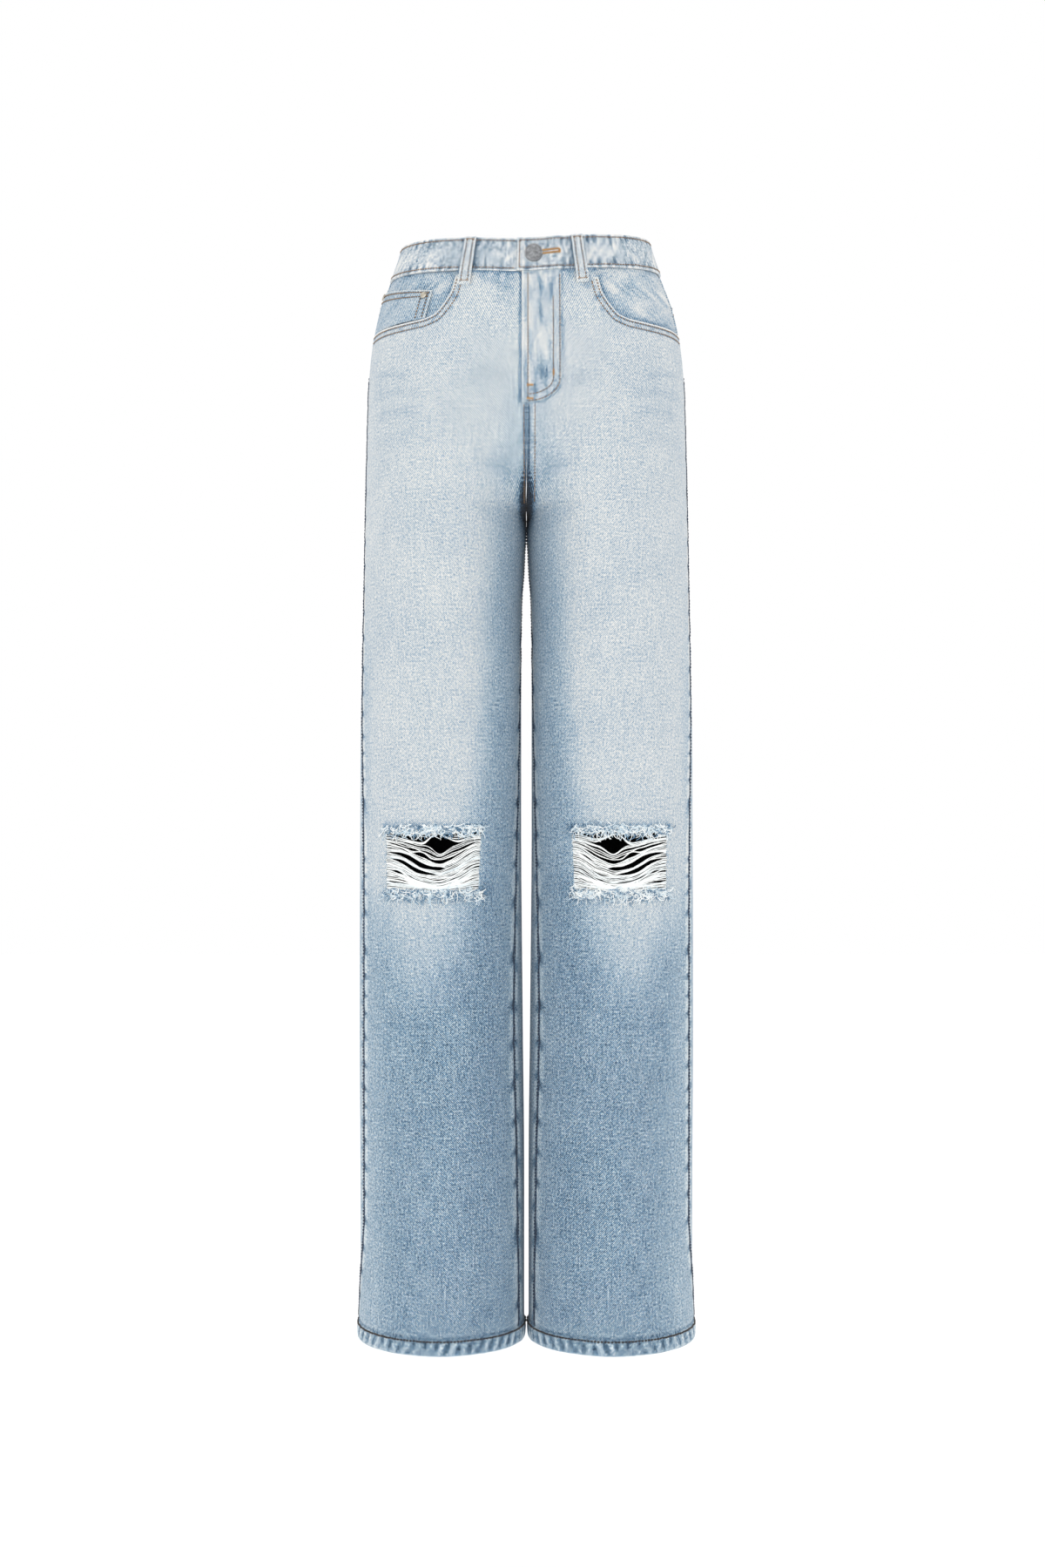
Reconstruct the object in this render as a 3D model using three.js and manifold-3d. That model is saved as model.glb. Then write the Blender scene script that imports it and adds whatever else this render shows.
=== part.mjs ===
// Ripped straight-leg five-pocket jeans in the hollow form they take when worn.
// Millimetres, +Z up, the front faces -Y, and +X is the wearer's left side.
// The origin is the middle of the waist, level with the middle of the waistband at the front.
// Every piece of cloth is a closed wall. Its outer face follows one surface, worked out below
// from the garment's sizes, and a piece that lies on a panel is the same surface moved out.
import * as THREE from 'three';
import { mergeVertices } from 'three/addons/utils/BufferGeometryUtils.js';
import Module from 'manifold-3d';

// ---------------------------------------------------------------- driving sizes

const GAP = 0.3;
const HALF_GAP = GAP / 2;
const LAYER_GAP = 0.5;
const PANEL_WALL = 1.5;
const HEM_WALL = 3;
const BAND_WALL = 2;
const LOOP_WALL = 1.8;
const PATCH_WALL = 1.2;

const BAND_HEIGHT = 31;
const BAND_FRONT_BOTTOM = -13;
const BAND_RISE = 27;
const BAND_RISE_POWER = 0.7;
const BAND_TILT = 3;
const BAND_PROUD = 0.4;

const CROTCH = -229;
const CROTCH_FRONT_RISE = 70;
const CROTCH_BACK_RISE = 130;
const HEM = -1024;
const HEM_HEIGHT = 15;
const HEM_STEP = 1;

// Each list gives [height, size] down the garment, and profile() joins them smoothly.
const OUTER_HALF = [
  [60, 113], [31, 121.6], [7, 129.6], [-12, 137.3], [-29, 143.2], [-63, 150], [-97, 153.4],
  [-148, 155], [-284, 158], [-454, 161.5], [-726, 162.4], [-930, 161.5], [-1024, 163],
];
const INNER_HALF = [
  [-229, 0.15], [-284, 3], [-318, 4.7], [-352, 5.1], [-522, 5.1], [-726, 3.4], [-862, 2.1],
];
const FRONT_DEPTH = [
  [60, 92], [18, 94], [-13, 97], [-63, 106], [-148, 112], [-229, 110], [-284, 104],
  [-454, 90], [-522, 84], [-700, 79], [-1024, 78],
];
const BACK_DEPTH = [
  [60, 92], [30, 95], [14, 99], [-30, 112], [-63, 121], [-148, 135], [-200, 133],
  [-284, 110], [-454, 86], [-522, 80], [-700, 79], [-1024, 78],
];
const MIDDLE_DEPTH = [[30, 0], [-148, 8], [-229, 8], [-454, 0]];
const FRONT_CROWN = [[60, 20], [-13, 24], [-63, 45], [-148, 62], [-229, 76], [-320, 82]];
const BACK_CROWN = [[60, 20], [14, 30], [-63, 60], [-148, 72], [-229, 78], [-320, 82]];
const SIDE_SEAM_FORWARD = [
  [7, 4], [-63, 6], [-148, 12], [-260, 20], [-400, 27], [-600, 33], [-900, 30], [-1024, 3],
];
const INSEAM_FORWARD = [[-229, 0], [-300, 8], [-473, 23], [-730, 38], [-860, 34], [-1024, 29]];

const FULLNESS = 0.72;
const FORK_SHARE = 0.36;
const FORK_LEVELS = [-90, -320];
const CURVE_STEPS = 24;
const SLOPE_STEP = 2;
const HALVINGS = 30;
const MOUTH_PASSES = 12;

const FRONT_INNER_CELLS = 4;
const FRONT_OUTER_CELLS = 2;
const BACK_COLUMNS = [0, 0.1, 0.2, 0.28, 0.36, 0.44, 0.5, 0.56, 0.64, 0.72, 0.8, 0.9, 1];
const PANEL_TOP_ROWS = 3;
const FRONT_BLEND = -75;
const BACK_BLEND = -90;
const SEAT_LEVELS = [-100, -122, -142, -159];
const CROTCH_ROWS = 5;
const THIGH_LEVELS = [-240, -260, -295, -345, -400, -460];
const SHIN_LEVELS = [-520, -600, -700, -820, -900, -960];

const POCKET_MOUTH = [
  [65.6, -17], [70.5, -32], [78, -44], [86, -52.5], [97, -56], [117, -57], [147, -56],
];
const POCKET_START = 65.6;
const POCKET_BACKING_START = 0.3;
const POCKET_BACKING_BOTTOM = -88;

const YOKE_SIDE = -32;
const YOKE_CENTRE = -60;

const FLY_WIDTH = 32;
const FLY_KNEE = -115;
const FLY_DROP = 22.5;
const FLY_COLUMNS = [-4.4, 0, 7, 14, 20, 25, 28.5, 31, 32];
const FLY_ROWS = 6;
const ZIP_HALF_WIDTH = 13;
const ZIP_CENTRE = 6;
const ZIP_BOTTOM = -118;
const ZIP_WALL = 1;
const ZIP_ROWS = 5;
const ZIP_CELLS = 4;

const UNDER_END = 24;
const OVER_EASE = [43, 27];
const BUTTON_X = 6.8;
const BUTTON_Z = 3;
const BUTTON_RADIUS = 8.4;
const BUTTON_SHANK = 2.4;
const EYELET_HALF = 3;
const BAND_UNDER_CELLS = 2;
const BAND_RIGHT_CELLS = 18;
const BAND_LEFT_CELLS = 14;
const BAND_EASE_CELLS = 3;
const EYELET_CELL = 1;
const BAND_OVER_PLACES = [18, 9.8, 3.8, -2, -9];

const YOKE_ROWS = 3;
const POCKET_BACKING_ROWS = 4;

const COIN_SIDE = -1;
const COIN_ROWS = 3;
const COIN_FIRST_CELL = 0.002;
const COIN_TOP = [88.5, -27.5];
const COIN_BOTTOM = [95, -55.2];
const COIN_OUTER_TOP = -11.5;
const COIN_RIVETS = { outer: [0.93, -17.5], inner: [0.6, -32.5] };
const RIVET_RADIUS = 3.6;
const RIVET_SIDES = 12;
const RIVET_OUTLINE = [
  [0, 0], [RIVET_RADIUS, 0], [RIVET_RADIUS, 0.5], [RIVET_RADIUS - 1, 1.1], [1.4, 1.2], [0, 1.7],
];

const BACK_POCKET_SHARES = [0.2, 0.8];
const BACK_POCKET_ROWS = 8;
const BACK_POCKET_TAPER = 0.02;
const BACK_POCKET_BELOW = 12;
const BACK_POCKET_HEIGHT = 126;
const BACK_POCKET_POINT = 16;

const LOOP_WIDTH = 11;
const LOOP_ROWS = 8;
const LOOP_CELLS = 2;
const LOOP_BELOW = 14;
const LOOP_BULGE = 1.6;
const LOOP_FRONT = { right: 56, left: 50.5 };
const LOOP_SIDE = 0.66;

const BUTTON_SIDES = 20;
const BUTTON_SEAT = BAND_WALL + GAP;
const BUTTON_OUTLINE = [
  [0, 0], [BUTTON_SHANK, 0], [BUTTON_SHANK, BUTTON_SEAT], [BUTTON_RADIUS - 0.4, BUTTON_SEAT],
  [BUTTON_RADIUS, BUTTON_SEAT + 0.4], [BUTTON_RADIUS, BUTTON_SEAT + 1.6],
  [BUTTON_RADIUS - 0.6, BUTTON_SEAT + 2.2], [BUTTON_RADIUS - 2, BUTTON_SEAT + 2],
  [BUTTON_SHANK, BUTTON_SEAT + 2.3], [0, BUTTON_SEAT + 2.4],
];
const SLIDER_SIZE = [4, 2.6, 6];
const SLIDER_WALL = 1.6;
const SLIDER_Z = -22;

const RIP_CENTRE_X = 88;
const RIP_CENTRE_Z = -560;
const RIP_HALF_WIDTH = 44.5;
const RIP_HALF_HEIGHT = 26.5;
const RIP_POWER = 0.75;
const RIP_POINTS = 28;
const RIP_REACH = 180;

// ---------------------------------------------------------------- garment surface

// Smooth curve through the stations of a list, level beyond its ends, never overshooting them.
function profile(list, height) {
  const rising = list.slice().reverse();
  const last = rising.length - 1;
  if (height <= rising[0][0]) return rising[0][1];
  if (height >= rising[last][0]) return rising[last][1];
  const slopes = rising.slice(1).map(([z, v], i) => (v - rising[i][1]) / (z - rising[i][0]));
  const tangent = (i) => {
    if (i === 0 || i === last) return 0;
    const before = slopes[i - 1];
    const after = slopes[i];
    return before * after <= 0 ? 0 : (2 * before * after) / (before + after);
  };
  const index = rising.findIndex(([z]) => z > height) - 1;
  const [z0, v0] = rising[index];
  const [z1, v1] = rising[index + 1];
  const span = z1 - z0;
  const t = (height - z0) / span;
  const a = v0 * (1 + 2 * t) * (1 - t) ** 2;
  const b = v1 * t * t * (3 - 2 * t);
  const c = tangent(index) * span * t * (1 - t) ** 2;
  const d = tangent(index + 1) * span * t * t * (t - 1);
  return a + b + c + d;
}

// Point at t on the arc that leaves `from` towards `corner` and arrives at `to`.
function arcPoint(from, corner, to, t) {
  const a = (1 - t) ** 2;
  const b = 2 * t * (1 - t) * FULLNESS;
  const c = t * t;
  const sum = from.clone().multiplyScalar(a).addScaledVector(corner, b).addScaledVector(to, c);
  return sum.divideScalar(a + b + c);
}

// How far the crotch seam has run out from the crotch point at a height, from 0 to 1.
function crotchReach(height, rise) {
  const t = THREE.MathUtils.clamp((height - CROTCH) / rise, 0, 1);
  return Math.sqrt(1 - (1 - t) ** 2);
}

// Level section of one half: from the front's inner end round the side to the back's inner end.
function halfRing(height) {
  const outer = profile(OUTER_HALF, height);
  const inner = profile(INNER_HALF, height);
  const front = -profile(FRONT_DEPTH, height);
  const back = profile(BACK_DEPTH, height);
  const middle = profile(MIDDLE_DEPTH, height);
  const frontCrown = profile(FRONT_CROWN, height);
  const backCrown = profile(BACK_CROWN, height);
  const frontEnd = middle + (front - middle) * crotchReach(height, CROTCH_FRONT_RISE);
  const backEnd = middle + (back - middle) * crotchReach(height, CROTCH_BACK_RISE);
  const arcs = [
    [[inner, frontEnd], [inner, front], [frontCrown, front]],
    [[frontCrown, front], [outer, front], [outer, middle]],
    [[outer, middle], [outer, back], [backCrown, back]],
    [[backCrown, back], [inner, back], [inner, backEnd]],
  ];
  const points = [new THREE.Vector2(inner, frontEnd)];
  const lengths = [0];
  let side = 0;
  arcs.forEach((arc, number) => {
    const [from, corner, to] = arc.map(([x, y]) => new THREE.Vector2(x, y));
    for (let step = 1; step <= CURVE_STEPS; step += 1) {
      const point = arcPoint(from, corner, to, step / CURVE_STEPS);
      lengths.push(lengths.at(-1) + point.distanceTo(points.at(-1)));
      points.push(point);
    }
    if (number === 1) side = lengths.at(-1);
  });
  const centre = new THREE.Vector2((inner + outer) / 2, middle);
  return { points, lengths, side, total: lengths.at(-1), closed: height < CROTCH, centre };
}

// Point a distance along a half section. A leg's section is a closed ring and goes round again.
function along(ring, distance) {
  const wrapped = ring.closed ? THREE.MathUtils.euclideanModulo(distance, ring.total) : distance;
  const held = THREE.MathUtils.clamp(wrapped, 0, ring.total);
  const next = Math.max(1, ring.lengths.findIndex((length) => length >= held));
  const before = ring.lengths[next - 1];
  const share = (held - before) / (ring.lengths[next] - before || 1);
  return ring.points[next - 1].clone().lerp(ring.points[next], share);
}

// The stretch of a half section that each region of cloth covers.
const REGIONS = {
  front(height, ring) {
    const start = ring.closed ? profile(INSEAM_FORWARD, height) : 0;
    return [start, ring.side - profile(SIDE_SEAM_FORWARD, height)];
  },
  back(height, ring) {
    const start = ring.side - profile(SIDE_SEAM_FORWARD, height);
    return [start, ring.total + (ring.closed ? profile(INSEAM_FORWARD, height) : 0)];
  },
  waist(height, ring) {
    return [0, ring.total];
  },
};

// Width of a region at a height, changing evenly past the crotch, where the true width jumps.
function evenWidth(region, height) {
  const widthAt = (z) => {
    const [start, end] = REGIONS[region](z, halfRing(z));
    return end - start;
  };
  const [above, below] = FORK_LEVELS;
  if (height >= above || height <= below) return widthAt(height);
  const share = THREE.MathUtils.smoothstep(height, below, above);
  return THREE.MathUtils.lerp(widthAt(below), widthAt(above), share);
}

// Distance along the half section at a share across a region. The columns beside the crotch
// seam spread over the fork, and the others run straight down.
function distanceAt(region, across, height, ring) {
  const [start, end] = REGIONS[region](height, ring);
  if (region === 'waist') return start + across * (end - start);
  const from = start + HALF_GAP;
  const width = end - start - GAP;
  const straight = evenWidth(region, height) * (1 - FORK_SHARE);
  const outer = region === 'front' ? 1 - across : across;
  const held = outer * (straight / (1 - FORK_SHARE));
  const spread = straight + ((outer + FORK_SHARE - 1) / FORK_SHARE) * (width - straight);
  const reach = outer < 1 - FORK_SHARE ? held : spread;
  return region === 'front' ? from + width - reach : from + reach;
}

// Point of the cloth: `across` runs from 0 to 1 over the region, and `out` moves it off the face.
function cloth(side, region, across, height, out = 0) {
  const place = (share, z, shift) => {
    const ring = halfRing(z);
    const point = along(ring, distanceAt(region, share, z, ring) + shift);
    return new THREE.Vector3(point.x, point.y, z);
  };
  const point = place(across, height, 0);
  const acrossSlope = place(across, height, SLOPE_STEP).sub(place(across, height, -SLOPE_STEP));
  const upSlope = place(across, height + SLOPE_STEP, 0).sub(place(across, height - SLOPE_STEP, 0));
  const normal = acrossSlope.cross(upSlope).normalize();
  const centre = halfRing(height).centre;
  const outward = new THREE.Vector3(point.x - centre.x, point.y - centre.y, 0);
  if (normal.dot(outward) < 0) normal.negate();
  point.addScaledVector(normal, out);
  point.x *= side;
  normal.x *= side;
  return { point, normal };
}

// Share of a region's width at which the cloth is a given distance from the centre line.
function acrossAt(region, x, height) {
  const ring = halfRing(height);
  const [start, end] = REGIONS[region](height, ring);
  let low = start;
  let high = Math.min(end, ring.side);
  for (let step = 0; step < HALVINGS; step += 1) {
    const middle = (low + high) / 2;
    if (along(ring, middle).x < x) low = middle;
    else high = middle;
  }
  return (low - start) / (end - start);
}

// Point of the front at a signed distance from the centre line.
function frontAt(x, height, out) {
  const side = x < 0 ? -1 : 1;
  return cloth(side, 'waist', acrossAt('waist', Math.abs(x), height), height, out);
}

// Point round the waist: 0 is the centre front, 1 and -1 are the centre back.
function waistAt(around, height, out) {
  const turned = around > 1 ? around - 2 : around;
  return cloth(turned < 0 ? -1 : 1, 'waist', Math.abs(turned), height, out);
}

// Height of the waistband's lower edge round the waist, a little lower on the wearer's right.
function bandEdge(around) {
  const rise = ((1 - Math.cos(Math.PI * around)) / 2) ** BAND_RISE_POWER;
  return BAND_FRONT_BOTTOM + BAND_RISE * rise + BAND_TILT * Math.sin(Math.PI * around);
}

// The same edge where it crosses a column of the front or back region.
function bandEdgeOver(side, region, across) {
  const ring = halfRing(BAND_FRONT_BOTTOM);
  const [start, end] = REGIONS[region](BAND_FRONT_BOTTOM, ring);
  return bandEdge((side * (start + across * (end - start))) / ring.total);
}

// ---------------------------------------------------------------- solids

// Closed wall from a grid of surface points. `wallAt` gives the wall at a row and column,
// and `open` says which cells are left out as holes.
function wallGeometry(grid, wallAt, open = () => false) {
  const rows = grid.length;
  const columns = grid[0].length;
  const outer = grid.flat().map(({ point }) => point);
  const inner = grid.flatMap((line, row) => line.map(({ point, normal }, column) => (
    point.clone().addScaledVector(normal, -wallAt(row, column))
  )));
  const corner = (row, column) => row * columns + column;
  const kept = (row, column) => (
    row >= 0 && column >= 0 && row < rows - 1 && column < columns - 1 && !open(row, column)
  );
  const faces = [];
  const quad = (a, b, c, d) => faces.push(a, b, c, a, c, d);
  const under = outer.length;
  const rim = (a, b) => quad(b, a, a + under, b + under);
  for (let row = 0; row < rows - 1; row += 1) {
    for (let column = 0; column < columns - 1; column += 1) {
      if (!kept(row, column)) continue;
      const a = corner(row, column);
      const b = corner(row, column + 1);
      const c = corner(row + 1, column + 1);
      const d = corner(row + 1, column);
      quad(a, b, c, d);
      quad(a + under, d + under, c + under, b + under);
      if (!kept(row - 1, column)) rim(a, b);
      if (!kept(row, column + 1)) rim(b, c);
      if (!kept(row + 1, column)) rim(c, d);
      if (!kept(row, column - 1)) rim(d, a);
    }
  }
  return closedGeometry([...outer, ...inner], faces);
}

// Indexed geometry whose faces point out, whichever hand the grid was.
function closedGeometry(points, faces) {
  let volume = 0;
  for (let i = 0; i < faces.length; i += 3) {
    const [a, b, c] = [points[faces[i]], points[faces[i + 1]], points[faces[i + 2]]];
    volume += a.dot(b.clone().cross(c));
  }
  if (volume < 0) faces.reverse();
  const geometry = new THREE.BufferGeometry();
  geometry.setAttribute('position', new THREE.Float32BufferAttribute(points.flatMap((p) => [...p]), 3));
  geometry.setIndex(faces);
  geometry.computeVertexNormals();
  return geometry;
}

// Even steps from one number to another, both ends included.
function steps(from, to, count) {
  return Array.from({ length: count + 1 }, (_, i) => from + ((to - from) * i) / count);
}

// Heights of a leg panel's rows below the top blend, closer together round the crotch.
function panelLevels(blend) {
  const crotchRows = steps(1, 0, CROTCH_ROWS).slice(1);
  const crotchLevels = crotchRows.map((t) => CROTCH + CROTCH_FRONT_RISE * t * t);
  const hemTop = HEM + HEM_HEIGHT;
  const hemLevels = [hemTop + HEM_STEP, hemTop, HEM];
  const upper = [blend, ...SEAT_LEVELS, ...crotchLevels];
  return [...upper, ...THIGH_LEVELS, ...SHIN_LEVELS, ...hemLevels];
}

// One leg panel, from its own top edge down to the folded hem.
function legPanel(side, region, columns, topEdge, blend) {
  const levels = panelLevels(blend);
  const grid = steps(0, 1, PANEL_TOP_ROWS).slice(0, -1).map((down) => (
    columns.map((across) => {
      const top = topEdge(side, across);
      return cloth(side, region, across, top + (blend - top) * down);
    })
  ));
  levels.forEach((height) => {
    grid.push(columns.map((across) => cloth(side, region, across, height)));
  });
  const hemRow = grid.length - 2;
  return wallGeometry(grid, (row) => (row >= hemRow ? HEM_WALL : PANEL_WALL));
}

// Piece laid over a region, on columns of the panel it lies on. `place` gives the share across
// and the height of each column at a share down the piece.
function patch(side, region, columns, rows, place, out, wall) {
  const grid = steps(0, 1, rows).map((down) => columns.map((column) => {
    const [across, height] = place(column, down);
    return cloth(side, region, across, height, out);
  }));
  return wallGeometry(grid, () => wall);
}

// Height of the pocket mouth at a distance from the centre line.
function pocketMouth(x) {
  const next = POCKET_MOUTH.findIndex(([px]) => px >= x);
  const [x1, z1] = POCKET_MOUTH.at(next);
  const [x0, z0] = POCKET_MOUTH.at(next - 1);
  return THREE.MathUtils.mapLinear(x, x0, x1, z0, z1);
}

// Top edge of a front panel: under the waistband, then along the pocket mouth.
function frontTop(side, across) {
  let height = bandEdgeOver(side, 'front', across) - GAP;
  for (let step = 0; step < MOUTH_PASSES; step += 1) {
    const x = Math.abs(cloth(side, 'front', across, height).point.x);
    if (x < POCKET_START) return height;
    height = pocketMouth(Math.min(x, POCKET_MOUTH.at(-1)[0]));
  }
  return height;
}

// Columns of a front panel, with one at each corner of the pocket mouth.
function panelColumns() {
  const mouth = POCKET_MOUTH.slice(0, -1).map(([x, z]) => acrossAt('front', x + HALF_GAP, z));
  const inner = steps(0, mouth[0], FRONT_INNER_CELLS);
  return [...inner, ...mouth.slice(1, -1), ...steps(mouth.at(-1), 1, FRONT_OUTER_CELLS)];
}

function yokeSeam(across) {
  return THREE.MathUtils.lerp(YOKE_SIDE, YOKE_CENTRE, across);
}

function yoke(side) {
  return patch(side, 'back', BACK_COLUMNS, YOKE_ROWS, (across, down) => {
    const top = bandEdgeOver(side, 'back', across) - GAP;
    return [across, THREE.MathUtils.lerp(top, yokeSeam(across) + HALF_GAP, down)];
  }, 0, PANEL_WALL);
}

// Hip piece that closes the pocket mouth and runs on behind the front panel.
function pocketBacking(side) {
  const columns = frontColumns.filter((column) => column > POCKET_BACKING_START);
  return patch(side, 'front', columns, POCKET_BACKING_ROWS, (across, down) => {
    const top = bandEdgeOver(side, 'front', across) - GAP;
    return [across, THREE.MathUtils.lerp(top, POCKET_BACKING_BOTTOM, down)];
  }, -PANEL_WALL - LAYER_GAP, PATCH_WALL);
}

// Coin pocket on the hip piece, cut off where it goes under the pocket mouth.
function coinPocket() {
  const innerTop = acrossAt('front', COIN_TOP[0], COIN_TOP[1]);
  const innerBottom = acrossAt('front', COIN_BOTTOM[0], COIN_BOTTOM[1]);
  const columns = frontColumns.filter((column) => column > innerBottom + COIN_FIRST_CELL);
  return patch(COIN_SIDE, 'front', [0, ...columns], COIN_ROWS, (column, down) => {
    const inner = THREE.MathUtils.lerp(innerTop, innerBottom, down);
    const across = Math.max(inner, column);
    const top = THREE.MathUtils.mapLinear(across, inner, 1, COIN_TOP[1], COIN_OUTER_TOP);
    return [across, THREE.MathUtils.lerp(top, COIN_BOTTOM[1], down)];
  }, PATCH_WALL - PANEL_WALL, PATCH_WALL);
}

// Five-sided patch pocket below the yoke.
function backPocket(side) {
  const [outer, inner] = BACK_POCKET_SHARES;
  const columns = BACK_COLUMNS.filter((column) => column >= outer && column <= inner);
  return patch(side, 'back', columns, BACK_POCKET_ROWS, (column, down) => {
    const taper = BACK_POCKET_TAPER * down;
    const across = THREE.MathUtils.clamp(column, outer + taper, inner - taper);
    const fromMiddle = Math.abs(2 * column - outer - inner) / (inner - outer);
    const height = BACK_POCKET_HEIGHT + BACK_POCKET_POINT * (1 - fromMiddle);
    return [across, yokeSeam(across) - BACK_POCKET_BELOW - height * down];
  }, LAYER_GAP + PATCH_WALL, PATCH_WALL);
}

// Prism through the front of one leg with the outline of its rip.
function ripCutter(side) {
  const outline = steps(0, 2 * Math.PI, RIP_POINTS).slice(0, -1).map((angle) => {
    const round = (value) => Math.sign(value) * Math.abs(value) ** RIP_POWER;
    const x = side * RIP_CENTRE_X + RIP_HALF_WIDTH * round(Math.cos(angle));
    return new THREE.Vector2(x, RIP_CENTRE_Z + RIP_HALF_HEIGHT * round(Math.sin(angle)));
  });
  const geometry = new THREE.ExtrudeGeometry(new THREE.Shape(outline), {
    depth: RIP_REACH,
    bevelEnabled: false,
  });
  return geometry.rotateX(Math.PI / 2);
}

function solid(geometry) {
  const bare = geometry.clone();
  bare.deleteAttribute('normal');
  bare.deleteAttribute('uv');
  const merged = mergeVertices(bare);
  return new wasm.Manifold(new wasm.Mesh({
    numProp: 3,
    vertProperties: new Float32Array(merged.attributes.position.array),
    triVerts: new Uint32Array(merged.index.array),
  }));
}

function subtract(geometry, cutter) {
  const mesh = solid(geometry).subtract(solid(cutter)).getMesh();
  const result = new THREE.BufferGeometry();
  result.setAttribute('position', new THREE.BufferAttribute(mesh.vertProperties, 3));
  result.setIndex(new THREE.BufferAttribute(mesh.triVerts, 1));
  result.computeVertexNormals();
  return result;
}

// Waistband: one strip from its under end, round the back, to the end that laps over the front.
function waistband() {
  const half = halfRing(BAND_FRONT_BOTTOM).total;
  const [easeStart, easeEnd] = OVER_EASE;
  const underEnd = steps(UNDER_END, 0, BAND_UNDER_CELLS).slice(0, -1);
  const rightSide = steps(0, -half, BAND_RIGHT_CELLS).slice(0, -1);
  const leftSide = steps(half, easeStart, BAND_LEFT_CELLS).slice(0, -1);
  const lap = [...steps(easeStart, easeEnd, BAND_EASE_CELLS), ...BAND_OVER_PLACES];
  const under = [...underEnd, ...rightSide].map((at) => [at, 0]);
  const over = [...leftSide, ...lap].map((at) => [at, lapLift(at)]);
  const places = [...under, ...over];
  const eyeletColumn = places.findIndex(([at]) => at === BAND_OVER_PLACES[EYELET_CELL]);
  const middle = (BUTTON_Z - BAND_FRONT_BOTTOM) / BAND_HEIGHT;
  const eyeletShare = EYELET_HALF / BAND_HEIGHT;
  const shares = [0, middle - eyeletShare, middle + eyeletShare, 1];
  const grid = shares.map((share) => places.map(([at, lift]) => {
    const around = at / half;
    const height = bandEdge(around) + share * BAND_HEIGHT;
    return waistAt(around, height, BAND_PROUD + lift);
  }));
  const open = (row, column) => row === 1 && column === eyeletColumn;
  return wallGeometry(grid, () => BAND_WALL, open);
}

// How far the lapping end of the waistband stands off at a distance from the centre front.
function lapLift(at) {
  const [start, end] = OVER_EASE;
  return (BAND_WALL + GAP) * (1 - THREE.MathUtils.smoothstep(at, end, start));
}

// Fly front: folded edge on one side, and a curve that runs into the centre seam on the other.
function fly() {
  const grid = steps(0, 1, FLY_ROWS).map((down) => FLY_COLUMNS.map((x) => {
    const around = Math.sign(x) * acrossAt('waist', Math.abs(x), BAND_FRONT_BOTTOM);
    const top = bandEdge(around) - GAP;
    const reach = Math.max(0, x) / FLY_WIDTH;
    const bottom = FLY_KNEE - FLY_DROP * Math.sqrt(1 - reach * reach);
    return frontAt(x, THREE.MathUtils.lerp(top, bottom, down), GAP + PATCH_WALL);
  }));
  return wallGeometry(grid, () => PATCH_WALL);
}

// Zip tape behind the front, closed, from the waistband's seam to the fly's lower bartack.
function zipTape() {
  const out = -PANEL_WALL - GAP;
  const left = ZIP_CENTRE - ZIP_HALF_WIDTH;
  const right = ZIP_CENTRE + ZIP_HALF_WIDTH;
  const grid = steps(BAND_FRONT_BOTTOM - 1, ZIP_BOTTOM, ZIP_ROWS).map((height) => (
    steps(left, right, ZIP_CELLS).map((x) => frontAt(x, height, out))
  ));
  return wallGeometry(grid, () => ZIP_WALL);
}

// Belt loop over the waistband, tacked at its top edge and below its lower seam.
function beltLoop(around) {
  const half = LOOP_WIDTH / 2 / halfRing(BAND_FRONT_BOTTOM).total;
  const bottom = bandEdge(around) - LOOP_BELOW;
  const top = bandEdge(around) + BAND_HEIGHT;
  const grid = steps(0, 1, LOOP_ROWS).map((up) => {
    const height = THREE.MathUtils.lerp(bottom, top, up);
    const out = BAND_PROUD + GAP + LOOP_WALL + LOOP_BULGE * Math.sin(Math.PI * up);
    return steps(around - half, around + half, LOOP_CELLS).map((at) => waistAt(at, height, out));
  });
  return wallGeometry(grid, () => LOOP_WALL);
}

// ---------------------------------------------------------------- hardware

// Round piece from a profile of [radius, height] pairs, standing on a place of the cloth.
function turned(outline, sides, { point, normal }) {
  const points = outline.map(([radius, height]) => new THREE.Vector2(radius, height));
  const geometry = new THREE.LatheGeometry(points, sides);
  const turn = new THREE.Quaternion().setFromUnitVectors(new THREE.Vector3(0, 1, 0), normal);
  return { geometry, position: point, turn };
}

// Jeans button: its shank passes the eyelet and stands on the under end of the waistband.
function button() {
  return turned(BUTTON_OUTLINE, BUTTON_SIDES, frontAt(BUTTON_X, BUTTON_Z, BAND_PROUD + GAP));
}

// Pocket rivet on a corner of the coin pocket.
function rivet(across, height) {
  const out = PATCH_WALL - PANEL_WALL + GAP;
  return turned(RIVET_OUTLINE, RIVET_SIDES, cloth(COIN_SIDE, 'front', across, height, out));
}

// Back plate of the zip's slider, at the top of the tape.
function zipSlider() {
  const [wide, narrow, high] = SLIDER_SIZE;
  const shape = new THREE.Shape([
    new THREE.Vector2(-narrow, -high), new THREE.Vector2(narrow, -high),
    new THREE.Vector2(wide, 0), new THREE.Vector2(wide, high),
    new THREE.Vector2(-wide, high), new THREE.Vector2(-wide, 0),
  ]);
  const geometry = new THREE.ExtrudeGeometry(shape, { depth: SLIDER_WALL, bevelEnabled: false });
  const out = -PANEL_WALL - ZIP_WALL - 2 * GAP;
  const { point, normal } = frontAt(ZIP_CENTRE, SLIDER_Z, out);
  const inward = normal.clone().negate();
  const turn = new THREE.Quaternion().setFromUnitVectors(new THREE.Vector3(0, 0, 1), inward);
  return { geometry, position: point, turn };
}

// ---------------------------------------------------------------- assembly

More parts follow.
